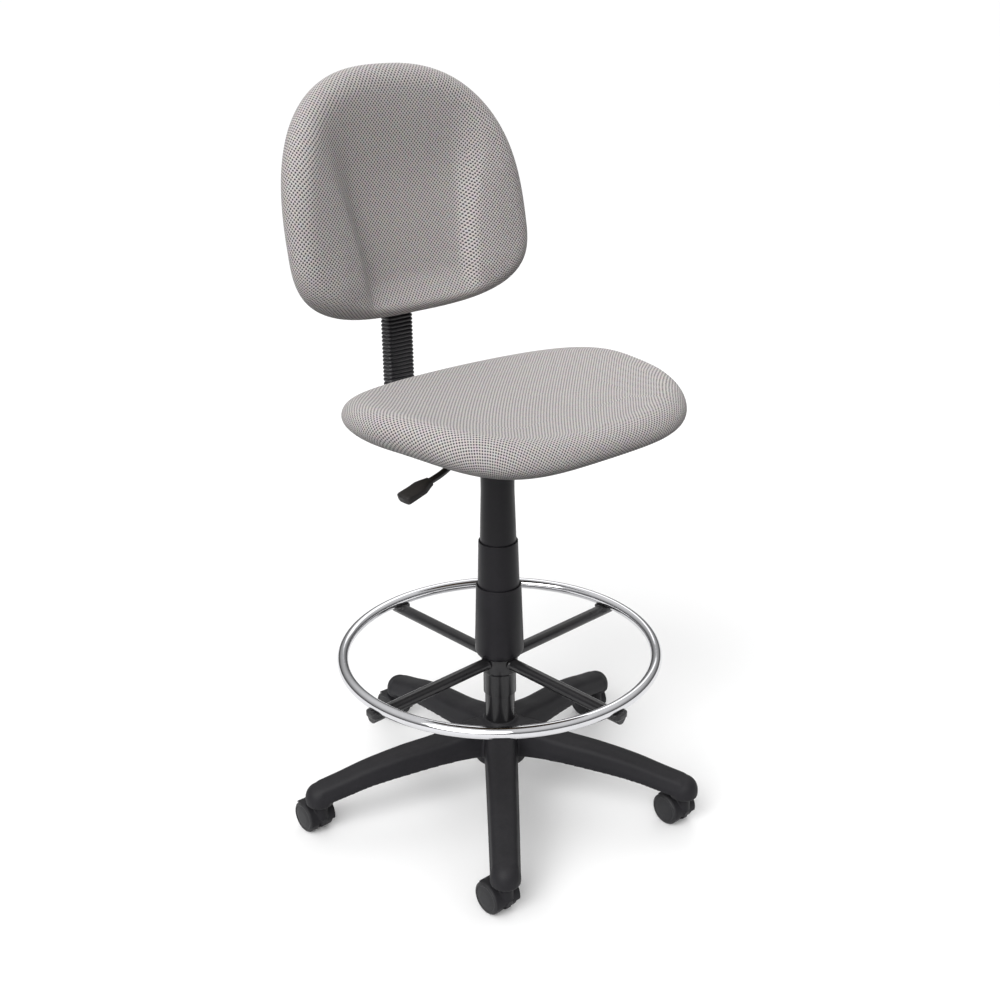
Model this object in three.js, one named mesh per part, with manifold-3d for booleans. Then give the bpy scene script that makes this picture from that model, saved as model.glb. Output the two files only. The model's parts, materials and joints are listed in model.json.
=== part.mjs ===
// A drafting chair: five-star base on twin-wheel casters, gas lift with telescoping covers, foot ring,
// upholstered seat and an upholstered back on a J-bar.
//
// Lengths are millimetres and angles are degrees. The floor is z = 0. The sitter faces -Y and the
// sitter's left hand is towards +X. The pieces are placed about the gas column, which stands on the
// Z axis, and the finished chair is then moved so that its footprint is centred on the origin.
// Angles round the column are counted from -Y towards +X.

import * as THREE from "three";
import { mergeVertices } from "three/addons/utils/BufferGeometryUtils.js";
import Module from "manifold-3d";

const wasm = await Module();
wasm.setup();

// ---- Clearances -------------------------------------------------------------------------------

const gap = 0.3; // between pieces that touch or are fastened together
const runningGap = 0.4; // between pieces that turn or slide in each other
const threadGap = 0.3; // round a screw

// ---- Driving dimensions -----------------------------------------------------------------------

const caster = {
  wheelRadius: 25,
  wheelInnerFace: 5.8, // from the middle plane
  wheelOuterFace: 22,
  trail: 20.2,
  wheelFacets: 18, // four times a whole number plus two, so that a flat meets the floor
  axleRadius: 3,
  axleHalfLength: 17.5,
  stemRadius: 5.5,
  stemLength: 46,
  bossRadius: 11,
  hoodClearance: 3, // over the wheels, to the hood's outside
  hoodThickness: 1.8,
};

const column = {
  radius: 23.4,
  wall: 2,
  floor: 4,
  top: 470,
  bushLength: 66,
  bushFlange: 3.5,
};

// Heights here start from the tops of the wheels, and the legs' lines run from the column's axis to
// the caster's stem as shares of that distance.
const base = {
  legs: 5,
  firstLegAngle: -39.3,
  socketRadius: 297.3, // column axis to caster stem
  hubThickness: 17.6, // from the column to the hub's outside
  hubBottom: 26,
  hubTop: 93,
  lipThickness: 3.6,
  lipHeight: 5,
  columnInset: 2, // the column's foot is this far up inside the hub
  legTopLine: [[0, 94], [0.2, 89], [0.33, 80], [0.55, 70.5], [0.77, 56.5], [0.88, 46.6], [1.01, 36]],
  legUnderLine: [[0, 40], [0.2, 44], [0.55, 36], [0.77, 26], [0.88, 17.5], [1.01, 8]],
  legRootWidth: 54,
  legTipWidth: 44,
  rounding: 10,
  wall: 4,
  crossRibs: 3,
  longRibs: 2,
  ribThickness: 3,
  sleeveRadius: 22.4,
  sleeveBottom: 4,
  sleeveTop: 38,
};

const gas = {
  rodRadius: 5,
  rodFoot: 5, // below the column
  shoulderRadius: 9,
  shoulderHeight: 4,
  bearingRadius: 15,
  bearingHeight: 6,
  clipRadius: 10,
  clipHeight: 2,
  pistonHeight: 300,
  pistonThickness: 12,
  tubeRadius: 14,
  tubeWall: 2.5,
  tubeBottom: 150,
  tubeTop: 616,
  plugLength: 12,
  chamberTop: 560,
  buttonRadius: 4,
  buttonDepth: 14,
  buttonProud: 6,
};

// The covers nest: each one's room is its distance from the piece that slides inside it.
const covers = {
  wall: 2,
  upperRoom: 2.2, // round the column
  upperBottom: 372,
  upperShoulder: 459,
  upperWaist: 535,
  upperNarrowing: 2.2,
  upperTop: 589,
  middleRoom: 2.4, // round the upper cover
  middleBottom: 308,
  middleShoulder: 387,
  middleNarrowing: 1.8,
  middleTop: 453.5,
  lowerRoom: 0.8, // round the middle cover
  lowerBottom: 262.1,
  lowerNeck: 6.1, // from the column to the outside of the cover's foot
  lowerBulge: 275,
  lowerSwell: 3.4, // from the rim to the widest line
  lowerTop: 381.3,
};

const footRing = {
  radius: 242.9, // to the tube's centreline
  tubeRadius: 9.5,
  height: 266.8,
  spokes: 4,
  firstSpokeAngle: 2.3,
  spokeRadius: 9.5,
  spokeHeight: 252.3,
  spokeOverhang: 12.1, // past the ring's centreline
  saddleWidth: 26,
  saddleLength: 30,
  saddleHeight: 8.5,
  saddleCorner: 8,
  sleeveWall: 2,
  sleeveBottom: 195,
  collarBottom: 234,
  collarThickness: 5.1,
  collarTop: 261.7,
  knobAngle: 137.3,
  knobHeight: 214,
  knobScrewRadius: 4,
  knobRadius: 15,
  knobLength: 16,
  knobReach: 9, // bare screw between sleeve and knob
};

const mechanism = {
  plateWidth: 190,
  plateFront: -75,
  plateBack: 128,
  plateBottom: 641,
  plateThickness: 3.6,
  plateCorner: 12,
  socketHalfX: 27,
  socketHalfY: 22,
  socketBottom: 600,
  cheekThickness: 4,
  channelFront: 26,
  channelBack: 125,
  channelBottom: 602,
  channelWall: 4,
  knobSetBack: 25, // of the depth knob behind the channel's middle
  knobStandOff: 6, // of its grip below the channel
  screwX: 70,
  screwFrontY: -58,
  screwBackY: 92,
};

const lever = {
  pivotX: -20,
  rodRadius: 5,
  pinRadius: 3,
  innerEnd: 5,
  offsetY: -20, // the paddle sits this far in front of the column
  elbowX: -112,
  elbowDrop: 28,
  gripX: -139,
  gripDrop: 37.5,
  tipX: -188,
  tipDrop: 52.5,
  paddleWidth: 28,
  paddleThickness: 14,
  paddleNeck: 0.55, // of its width, at the rod's end
  paddleCorner: 6,
  paddleRounding: 3,
};

const jBar = {
  width: 38,
  thickness: 8,
  frontEnd: 58,
  uprightY: 238, // how far the upright stands behind the column
  lowerBend: 45,
  upperBend: 60,
  lean: 10.6, // of the stretch behind the back
  leanStart: 778,
  length: 120, // of the leaning stretch
  bootSides: 12, // how much wider than the bar the boot is
  bootFaces: 16, // how much thicker
  bootFront: 165,
  bootTop: 36, // up the leaning stretch
  bootCorner: 7,
};

const seat = {
  width: 482,
  depth: 401,
  forward: 41.7, // seat centre in front of the column
  top: 704,
  thickness: 53,
  frontSquareness: 3.9,
  rearSquareness: 2.2,
  taper: -0.14,
  edge: 39,
  frontDrop: 18,
  bolster: 14,
  rearFall: 13,
  dish: 8,
  boardMargin: 61, // at each side, from the cushion's outline
  boardEndMargin: 50.5,
  boardCorner: 90,
  boardThickness: 12,
  screwRadius: 3,
  screwHeadRadius: 6,
  screwHeadHeight: 3,
  screwLength: 13,
};

const back = {
  centreHeight: 880, // widest line
  behind: 215, // mid-thickness at the widest line, behind the column
  recline: 10.6,
  halfWidth: 217,
  above: 254,
  below: 113,
  topSquareness: 2.5,
  bottomSquareness: 3,
  front: 31.5, // mid-thickness to the front face
  rear: 25, // mid-thickness to the rear face
  edge: 30,
  wrap: 28,
  boardMargin: 112, // at each side, from the cushion's outline
  boardLow: -84,
  boardHigh: 165,
  boardCorner: 60,
  boardThickness: 9,
  travel: 25, // up and down from rest
  shellInset: 28,
  shellDepth: 9,
  shellWall: 3,
  humpRoom: 17, // at each side of the boot
  humpDepth: 42,
  humpLow: -98,
  humpHigh: 80,
  humpCorner: 14,
  bootGap: 3,
  housingWall: 2.5,
  housingLow: -80,
  flangeHalfWidth: 60,
  guideHeight: 32,
  knobRadius: 20,
  knobLength: 18,
  knobScrewRadius: 4,
  knobStandOff: 2,
};

// ---- Materials --------------------------------------------------------------------------------

function finish(color, roughness, metalness) {
  return new THREE.MeshStandardMaterial({ color, roughness, metalness });
}

const nylon = finish(0x2b2a2c, 0.6, 0);
const wheelNylon = finish(0x38373a, 0.55, 0);
const blackSteel = finish(0x0e0d10, 0.25, 0.1);
const coverPlastic = finish(0x19191c, 0.4, 0);
const chrome = finish(0xd8d8dc, 0.08, 1);
const zincSteel = finish(0x9a9a96, 0.4, 0.9);
const rubber = finish(0x151416, 0.5, 0);
const board = finish(0xb08a5c, 0.8, 0);
const tweed = finish(0x9c9490, 0.95, 0);

// ---- Solids -----------------------------------------------------------------------------------

const degrees = Math.PI / 180;

/** The closed solid that a geometry bounds. */
function solid(geometry) {
  const bare = geometry.index ? geometry.toNonIndexed() : geometry.clone();
  bare.deleteAttribute("normal");
  bare.deleteAttribute("uv");
  const merged = mergeVertices(bare, 1e-4);
  return new wasm.Manifold(
    new wasm.Mesh({
      numProp: 3,
      vertProperties: new Float32Array(merged.attributes.position.array),
      triVerts: new Uint32Array(merged.index.array),
    }),
  );
}

/** A geometry made of the first piece with the others joined to it. */
function join(first, ...others) {
  return surface(others.reduce((whole, piece) => whole.add(solid(piece)), solid(first)));
}

/** A geometry made of the first piece with the others cut out of it. */
function cut(first, ...others) {
  return surface(others.reduce((whole, piece) => whole.subtract(solid(piece)), solid(first)));
}

/** The geometry that bounds a closed solid. */
function surface(body) {
  const mesh = body.getMesh();
  const geometry = new THREE.BufferGeometry();
  geometry.setAttribute("position", new THREE.BufferAttribute(mesh.vertProperties, 3));
  geometry.setIndex(new THREE.BufferAttribute(mesh.triVerts, 1));
  return geometry;
}

/** A solid of revolution about Z. The profile is [radius, height] pairs, anticlockwise. */
function turned(profile, facets = 20) {
  const points = profile.map(([radius, height]) => new THREE.Vector2(radius, height));
  return new THREE.LatheGeometry(points, facets).rotateX(90 * degrees);
}

/** A disc or shaft about Z. */
function rod(radius, bottom, top, facets = 20) {
  return turned([[0, bottom], [radius, bottom], [radius, top], [0, top]], facets);
}

/** A tube or washer about Z. */
function ring(inner, outer, bottom, top, facets = 20) {
  return turned([[inner, bottom], [outer, bottom], [outer, top], [inner, top], [inner, bottom]], facets);
}

/** A box between two corners. */
function block([x0, y0, z0], [x1, y1, z1]) {
  const box = new THREE.BoxGeometry(x1 - x0, y1 - y0, z1 - z0);
  return box.translate((x0 + x1) / 2, (y0 + y1) / 2, (z0 + z1) / 2);
}

/** A shape drawn in the XY plane, raised from one height to another. */
function raised(shape, bottom, top) {
  const settings = { depth: top - bottom, bevelEnabled: false, curveSegments: 3 };
  return new THREE.ExtrudeGeometry(shape, settings).translate(0, 0, bottom);
}

/** A shape drawn with its X along the chair's Y and its Y upright, as thick as stated, about x = 0. */
function acrossX(shape, width) {
  const geometry = new THREE.ExtrudeGeometry(shape, { depth: width, bevelEnabled: false, curveSegments: 5 });
  return geometry.translate(0, 0, -width / 2).rotateX(90 * degrees).rotateZ(90 * degrees);
}

/** A rectangle about the origin. */
function rectangle(width, height) {
  const corners = [[-1, -1], [1, -1], [1, 1], [-1, 1]];
  return new THREE.Shape(corners.map(([x, y]) => new THREE.Vector2((x * width) / 2, (y * height) / 2)));
}

/** A rectangle with round corners, about a centre. */
function roundedRectangle(width, height, radius, centreX = 0, centreY = 0) {
  const x = centreX - width / 2;
  const y = centreY - height / 2;
  const shape = new THREE.Shape();
  shape.absarc(x + width - radius, y + radius, radius, -90 * degrees, 0, false);
  shape.absarc(x + width - radius, y + height - radius, radius, 0, 90 * degrees, false);
  shape.absarc(x + radius, y + height - radius, radius, 90 * degrees, 180 * degrees, false);
  shape.absarc(x + radius, y + radius, radius, 180 * degrees, 270 * degrees, false);
  shape.closePath();
  return shape;
}

/** Moves every vertex of a geometry by a function of its place. */
function reshape(geometry, move) {
  const place = geometry.attributes.position;
  const point = new THREE.Vector3();
  for (let i = 0; i < place.count; i += 1) {
    point.fromBufferAttribute(place, i);
    move(point);
    place.setXYZ(i, point.x, point.y, point.z);
  }
  return geometry;
}

const chair = new THREE.Group();

/** Hangs a named piece on a group. */
function piece(name, geometry, material, parent = chair) {
  const mesh = new THREE.Mesh(geometry, material);
  mesh.name = name;
  parent.add(mesh);
  return mesh;
}

/** Turns a geometry that points along +X to point at an angle round the column. */
function aim(geometry, angle) {
  return geometry.rotateZ((angle - 90) * degrees);
}

// ---- Five-star base ---------------------------------------------------------------------------

const wheelTop = 2 * caster.wheelRadius;
const hubBottom = wheelTop + base.hubBottom;
const hubTop = wheelTop + base.hubTop;
const hubRadius = column.radius + base.hubThickness;
const sleeveBottom = wheelTop + base.sleeveBottom;
const sleeveTop = wheelTop + base.sleeveTop;
const socketRadius = caster.stemRadius + 2 * gap;
const columnBore = column.radius + gap;
const legAngles = Array.from({ length: base.legs }, (_, i) => base.firstLegAngle + (360 / base.legs) * i);

/** A smooth line through a leg's [share of its reach, height] points, as a function of the distance. */
function lineThrough(points) {
  const distances = points.map(([share]) => share * base.socketRadius);
  const heights = points.map(([, height]) => wheelTop + height);
  const line = new THREE.CubicInterpolant(distances, heights, 1);
  return (x) => line.evaluate(x)[0];
}

const legTop = lineThrough(base.legTopLine);
const legUnderside = lineThrough(base.legUnderLine);

/** A stretch of leg that points along +X, narrowed to its end, with its upper edges rounded. */
function legStretch(start, end, width, round, sunk) {
  const half = width / 2;
  const height = base.legRootWidth;
  const section = new THREE.Shape();
  section.moveTo(-half, 0);
  section.lineTo(half, 0);
  section.lineTo(half, height - round);
  if (round > 0) {
    section.absarc(half - round, height - round, round, 0, 90 * degrees, false);
    section.absarc(round - half, height - round, round, 90 * degrees, 180 * degrees, false);
  } else {
    section.lineTo(-half, height);
  }
  section.closePath();
  const stretch = { depth: end - start, steps: 10, curveSegments: 2, bevelEnabled: false };
  const bar = new THREE.ExtrudeGeometry(section, stretch);
  bar.rotateX(90 * degrees).rotateZ(90 * degrees).translate(start, 0, 0);
  const narrowing = (base.legRootWidth - base.legTipWidth) / 2;
  return reshape(bar, (point) => {
    const fromTop = height - point.z;
    const lower = point.z < 1;
    point.y *= 1 - (narrowing * point.x) / (base.socketRadius * half);
    point.z = lower ? legUnderside(point.x) - sunk : legTop(point.x) - sunk - fromTop;
  });
}

/** The pocket under a leg, crossed by stiffening ribs. */
function legPocket() {
  const start = hubRadius + base.wall;
  const end = base.socketRadius - base.sleeveRadius - base.wall;
  const width = base.legRootWidth - 2 * base.wall;
  const crossRibs = Array.from({ length: base.crossRibs }, (_, i) => {
    const x = start + ((end - start) * (i + 1)) / (base.crossRibs + 1);
    return block([x, -width, 0], [x + base.ribThickness, width, hubTop]);
  });
  const longRibs = Array.from({ length: base.longRibs }, (_, i) => {
    const y = (width * (i + 1)) / (base.longRibs + 1) - (width + base.ribThickness) / 2;
    return block([start - 1, y, 0], [end + 1, y + base.ribThickness, hubTop]);
  });
  return cut(legStretch(start, end, width, 0, base.wall), ...crossRibs, ...longRibs);
}

/** The round housing at the end of a leg, which holds a caster's stem. */
function legSleeve() {
  const r = base.sleeveRadius;
  const profile = [
    [0, sleeveBottom],
    [r - 1, sleeveBottom],
    [r, sleeveBottom + 2],
    [r, sleeveTop - 20],
    [r - 2.5, sleeveTop - 12],
    [r - 7.5, sleeveTop - 5.5],
    [r - 14, sleeveTop - 1.5],
    [0, sleeveTop],
  ];
  return turned(profile, 16).translate(base.socketRadius, 0, 0);
}

function starBase() {
  const round = base.rounding;
  const lipRadius = column.radius + base.lipThickness;
  const hub = turned([
    [0, hubBottom],
    [hubRadius - 2, hubBottom],
    [hubRadius, hubBottom + 2],
    [hubRadius, hubTop - round],
    [hubRadius - 0.3 * round, hubTop - 0.3 * round],
    [hubRadius - round, hubTop],
    [lipRadius, hubTop],
    [lipRadius, hubTop + base.lipHeight],
    [0, hubTop + base.lipHeight],
  ]);
  const legs = legAngles.flatMap((angle) => {
    const leg = legStretch(hubRadius / 2, base.socketRadius, base.legRootWidth, round, 0);
    return [aim(leg, angle), aim(legSleeve(), angle)];
  });
  const holes = legAngles.flatMap((angle) => {
    const socket = rod(socketRadius, sleeveBottom - 1, sleeveTop - base.wall, 12);
    return [aim(legPocket(), angle), aim(socket.translate(base.socketRadius, 0, 0), angle)];
  });
  const bore = rod(columnBore, hubBottom - 1, hubTop + base.lipHeight + 1);
  return cut(join(hub, ...legs), bore, ...holes);
}

piece("five_star_base", starBase(), nylon);

// ---- Casters ----------------------------------------------------------------------------------

const hoodRadius = caster.wheelRadius + caster.hoodClearance;
const stemBottom = caster.wheelRadius + caster.bossRadius;
const wheelCornerRadius = caster.wheelRadius / Math.cos(Math.PI / caster.wheelFacets);

/** Fork and hood of one caster, with its stem axis on Z and its wheels behind it. */
function casterHood() {
  const web = new THREE.Shape();
  const { trail, wheelRadius, bossRadius, hoodThickness } = caster;
  web.absarc(trail, wheelRadius, bossRadius, -100 * degrees, 90 * degrees, false);
  web.lineTo(bossRadius, hoodRadius + wheelRadius - hoodThickness);
  web.lineTo(-bossRadius + 5, hoodRadius + wheelRadius - hoodThickness);
  web.lineTo(-bossRadius, hoodRadius);
  web.closePath();
  const hood = new THREE.Shape();
  hood.absarc(trail, wheelRadius, hoodRadius, 62 * degrees, 190 * degrees, false);
  hood.absarc(trail, wheelRadius, hoodRadius - hoodThickness, 190 * degrees, 62 * degrees, true);
  hood.closePath();
  const boss = rod(bossRadius, hoodRadius, sleeveBottom - 2 * runningGap, 16);
  const axleBore = rod(caster.axleRadius + runningGap, -hoodRadius, hoodRadius, 12);
  axleBore.rotateY(90 * degrees).translate(0, trail, wheelRadius);
  const stemBore = rod(caster.stemRadius + gap, stemBottom, sleeveBottom + 1, 12);
  const sides = caster.wheelInnerFace - 2 * runningGap;
  const wheelRooms = [90, -90].map((turn) => {
    const room = rod(wheelCornerRadius + 2 * runningGap, sides, caster.wheelOuterFace + 2);
    return room.rotateY(turn * degrees).translate(0, trail, wheelRadius);
  });
  const whole = join(acrossX(web, 2 * sides), acrossX(hood, 2 * caster.wheelOuterFace), boss);
  return cut(whole, axleBore, stemBore, ...wheelRooms);
}

/** One wheel about Z with its inner face down, closed and slightly domed outside. */
function casterWheel() {
  const radius = wheelCornerRadius;
  const bore = caster.axleRadius + runningGap;
  const inner = caster.wheelInnerFace;
  const outer = caster.wheelOuterFace;
  return turned(
    [
      [0, caster.axleHalfLength + gap],
      [bore, caster.axleHalfLength + gap],
      [bore, inner],
      [radius, inner],
      [radius, outer - 4.5],
      [radius - 4, outer - 1.2],
      [0, outer],
    ],
    caster.wheelFacets,
  );
}

legAngles.forEach((angle, i) => {
  const corner = new THREE.Group();
  corner.position.set(
    base.socketRadius * Math.sin(angle * degrees),
    -base.socketRadius * Math.cos(angle * degrees),
    0,
  );
  chair.add(corner);
  const label = `caster_${i + 1}`;
  piece(`${label}_hood`, casterHood(), nylon, corner);
  const stem = rod(caster.stemRadius, stemBottom + gap, stemBottom + caster.stemLength, 12);
  piece(`${label}_stem`, stem, zincSteel, corner);
  const axle = rod(caster.axleRadius, -caster.axleHalfLength, caster.axleHalfLength, 12);
  const axleMesh = piece(`${label}_axle`, axle, zincSteel, corner);
  const left = piece(`${label}_wheel_left`, casterWheel(), wheelNylon, corner);
  const right = piece(`${label}_wheel_right`, casterWheel(), wheelNylon, corner);
  [axleMesh, left, right].forEach((mesh) => mesh.position.set(0, caster.trail, caster.wheelRadius));
  axleMesh.rotation.y = 90 * degrees;
  left.rotation.y = 90 * degrees;
  right.rotation.y = -90 * degrees;
});

// ---- Gas lift ---------------------------------------------------------------------------------

const columnBottom = hubBottom + base.columnInset;
const columnInner = column.radius - column.wall;
const rodBore = gas.rodRadius + runningGap;
const tubeBore = gas.tubeRadius + runningGap;
const bearingBottom = columnBottom + column.floor + gap;
const shoulderBottom = bearingBottom + gas.bearingHeight + gap;

function columnTube() {
  return turned([
    [rodBore, columnBottom],
    [column.radius, columnBottom],
    [column.radius, column.top],
    [columnInner, column.top],
    [columnInner, columnBottom + column.floor],
    [rodBore, columnBottom + column.floor],
    [rodBore, columnBottom],
  ]);
}

function guideBush() {
  const flange = column.top + gap;
  return turned([
    [tubeBore, column.top - column.bushLength],
    [columnInner - gap, column.top - column.bushLength],
    [columnInner - gap, flange],
    [column.radius, flange],
    [column.radius, flange + column.bushFlange],
    [tubeBore, flange + column.bushFlange],
    [tubeBore, column.top - column.bushLength],
  ]);
}

function pistonRod() {
  const headRadius = gas.tubeRadius - gas.tubeWall - runningGap;
  return turned(
    [
      [0, columnBottom - gas.rodFoot],
      [gas.rodRadius, columnBottom - gas.rodFoot],
      [gas.rodRadius, shoulderBottom],
      [gas.shoulderRadius, shoulderBottom],
      [gas.shoulderRadius, shoulderBottom + gas.shoulderHeight],
      [gas.rodRadius, shoulderBottom + gas.shoulderHeight],
      [gas.rodRadius, gas.pistonHeight],
      [headRadius, gas.pistonHeight],
      [headRadius, gas.pistonHeight + gas.pistonThickness],
      [0, gas.pistonHeight + gas.pistonThickness],
    ],
    16,
  );
}

function gasTube() {
  const chamber = gas.tubeRadius - gas.tubeWall;
  const buttonBore = gas.buttonRadius + threadGap;
  return turned(
    [
      [0, gas.chamberTop],
      [chamber, gas.chamberTop],
      [chamber, gas.tubeBottom + gas.plugLength],
      [rodBore, gas.tubeBottom + gas.plugLength],
      [rodBore, gas.tubeBottom],
      [gas.tubeRadius, gas.tubeBottom],
      [gas.tubeRadius, gas.tubeTop],
      [buttonBore, gas.tubeTop],
      [buttonBore, gas.tubeTop - gas.buttonDepth],
      [0, gas.tubeTop - gas.buttonDepth],
    ],
    20,
  );
}

function releaseButton() {
  const r = gas.buttonRadius;
  const top = gas.tubeTop + gas.buttonProud;
  const bottom = gas.tubeTop - gas.buttonDepth + 4;
  return turned([[0, bottom], [r, bottom], [r, top - 2], [r - 1.5, top - 0.6], [0, top]], 16);
}

piece("column_tube", columnTube(), blackSteel);
piece("guide_bush", guideBush(), nylon);
const bearing = ring(rodBore, gas.bearingRadius, bearingBottom, bearingBottom + gas.bearingHeight);
piece("thrust_bearing", bearing, zincSteel);
const clipTop = columnBottom - gap;
piece("retaining_clip", ring(rodBore, gas.clipRadius, clipTop - gas.clipHeight, clipTop), zincSteel);
piece("piston_rod", pistonRod(), zincSteel);
piece("gas_tube", gasTube(), blackSteel);
piece("release_button", releaseButton(), zincSteel);

// ---- Telescoping covers -----------------------------------------------------------------------

const upperRadius = column.radius + covers.upperRoom + covers.wall;
const middleRadius = upperRadius + covers.middleRoom + covers.wall;
const lowerTopRadius = middleRadius + covers.lowerRoom + covers.wall;

function lowerCover() {
  const { wall, lowerBottom, lowerBulge, lowerTop } = covers;
  const bore = column.radius + runningGap;
  const neck = column.radius + covers.lowerNeck;
  const bulge = lowerTopRadius + covers.lowerSwell;
  const arc = [0, 30, 60, 90].map((turn) => [
    neck + (bulge - neck) * Math.sin(turn * degrees),
    lowerBulge - (lowerBulge - lowerBottom) * Math.cos(turn * degrees),
  ]);
  return turned([
    [bore, lowerBottom],
    ...arc,
    [lowerTopRadius, lowerTop],
    [lowerTopRadius - wall, lowerTop],
    [bulge - wall, lowerBulge],
    [neck, lowerBottom + 2 * wall],
    [bore, lowerBottom + 2 * wall],
    [bore, lowerBottom],
  ]);
}

function middleCover() {
  const { wall, middleBottom, middleShoulder, middleTop } = covers;
  const topRadius = middleRadius - covers.middleNarrowing;
  return turned([
    [middleRadius - wall, middleBottom],
    [middleRadius, middleBottom],
    [middleRadius, middleShoulder],
    [topRadius, middleTop],
    [topRadius - wall, middleTop],
    [middleRadius - wall, middleShoulder],
    [middleRadius - wall, middleBottom],
  ]);
}

function upperCover() {
  const { wall, upperBottom, upperShoulder, upperWaist, upperTop } = covers;
  const topRadius = upperRadius - covers.upperNarrowing;
  const tubeHole = gas.tubeRadius + gap;
  return turned([
    [upperRadius - wall, upperBottom],
    [upperRadius, upperBottom],
    [upperRadius, upperShoulder],
    [topRadius, upperWaist],
    [topRadius, upperTop - wall],
    [topRadius - wall, upperTop],
    [tubeHole, upperTop],
    [tubeHole, upperTop - wall],
    [topRadius - wall, upperTop - wall],
    [topRadius - wall, upperWaist],
    [upperRadius - wall, upperShoulder],
    [upperRadius - wall, upperBottom],
  ]);
}

piece("cover_lower", lowerCover(), coverPlastic);
piece("cover_middle", middleCover(), coverPlastic);
piece("cover_upper", upperCover(), coverPlastic);

// ---- Foot ring --------------------------------------------------------------------------------

const ringSleeveInner = column.radius + runningGap;
const ringSleeveOuter = ringSleeveInner + footRing.sleeveWall;
const collarRadius = column.radius + footRing.collarThickness;
const knobDirection = new THREE.Vector3(
  Math.sin(footRing.knobAngle * degrees),
  -Math.cos(footRing.knobAngle * degrees),
  0,
);

/** The ring's tube, or the room that it takes up when grown by a clearance. */
function ringTube(growth) {
  const { radius, tubeRadius, height } = footRing;
  return new THREE.TorusGeometry(radius, tubeRadius + growth, 10, 60).translate(0, 0, height);
}

function ringHub() {
  const { collarBottom, collarTop, knobScrewRadius, knobHeight } = footRing;
  const body = turned([
    [ringSleeveInner, footRing.sleeveBottom],
    [ringSleeveOuter, footRing.sleeveBottom],
    [ringSleeveOuter, collarBottom - 2],
    [collarRadius, collarBottom + 2],
    [collarRadius, collarTop],
    [ringSleeveInner, collarTop],
    [ringSleeveInner, footRing.sleeveBottom],
  ]);
  const hole = rod(knobScrewRadius + threadGap, 0, 2 * ringSleeveOuter, 16);
  return cut(body, aim(hole.rotateY(90 * degrees).translate(0, 0, knobHeight), footRing.knobAngle));
}

/** A spoke with the saddle under the ring at its end. */
function ringSpoke(angle) {
  const { spokeRadius, spokeHeight, saddleWidth, saddleLength, saddleHeight, saddleCorner } = footRing;
  const bar = rod(spokeRadius, collarRadius - 4, footRing.radius + footRing.spokeOverhang, 16);
  bar.rotateY(90 * degrees).translate(0, 0, spokeHeight);
  const saddle = raised(roundedRectangle(saddleLength, saddleWidth, saddleCorner), 0, saddleHeight);
  saddle.translate(footRing.radius, 0, spokeHeight);
  const whole = aim(join(bar, saddle), angle);
  return cut(whole, rod(collarRadius + gap, 0, footRing.height), ringTube(gap));
}

/** A clamp knob about Z: screw from the origin to its reach, then the grip. */
function clampKnob(screwRadius, reach, gripRadius, gripLength, lobes = 6) {
  const grip = new THREE.Shape();
  const steps = lobes * 4;
  for (let i = 0; i < steps; i += 1) {
    const turn = (2 * Math.PI * i) / steps;
    const r = gripRadius * (0.93 + 0.07 * Math.cos(lobes * turn));
    if (i === 0) grip.moveTo(r, 0);
    else grip.lineTo(r * Math.cos(turn), r * Math.sin(turn));
  }
  grip.closePath();
  return join(rod(screwRadius, 0, reach + 1, 16), raised(grip, reach, reach + gripLength));
}

piece("foot_ring", ringTube(0), chrome);
piece("footring_hub", ringHub(), blackSteel);
for (let i = 0; i < footRing.spokes; i += 1) {
  const angle = footRing.firstSpokeAngle + (360 / footRing.spokes) * i;
  piece(`spoke_${i + 1}`, ringSpoke(angle), blackSteel);
}
const ringKnobReach = footRing.knobReach + footRing.sleeveWall;
const ringKnob = clampKnob(footRing.knobScrewRadius, ringKnobReach, footRing.knobRadius, footRing.knobLength);
const ringKnobMesh = piece("footring_knob", ringKnob, nylon);
ringKnobMesh.quaternion.setFromUnitVectors(new THREE.Vector3(0, 0, 1), knobDirection);
ringKnobMesh.position.copy(knobDirection).multiplyScalar(ringSleeveInner);
ringKnobMesh.position.z = footRing.knobHeight;

// ---- Seat mechanism ---------------------------------------------------------------------------

const plateTop = mechanism.plateBottom + mechanism.plateThickness;
const leverHeight = gas.tubeTop + gas.buttonProud + gap + lever.rodRadius;
const barBottom = mechanism.channelBottom + mechanism.channelWall + runningGap;
const barTop = barBottom + jBar.thickness;
const channelTop = barTop + runningGap + mechanism.channelWall;
const depthKnobY = (mechanism.channelFront + mechanism.channelBack) / 2 + mechanism.knobSetBack;
const knobScrewRadius = back.knobScrewRadius;
const screwPlaces = [
  [-mechanism.screwX, mechanism.screwFrontY],
  [mechanism.screwX, mechanism.screwFrontY],
  [-mechanism.screwX, mechanism.screwBackY],
  [mechanism.screwX, mechanism.screwBackY],
];

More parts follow.
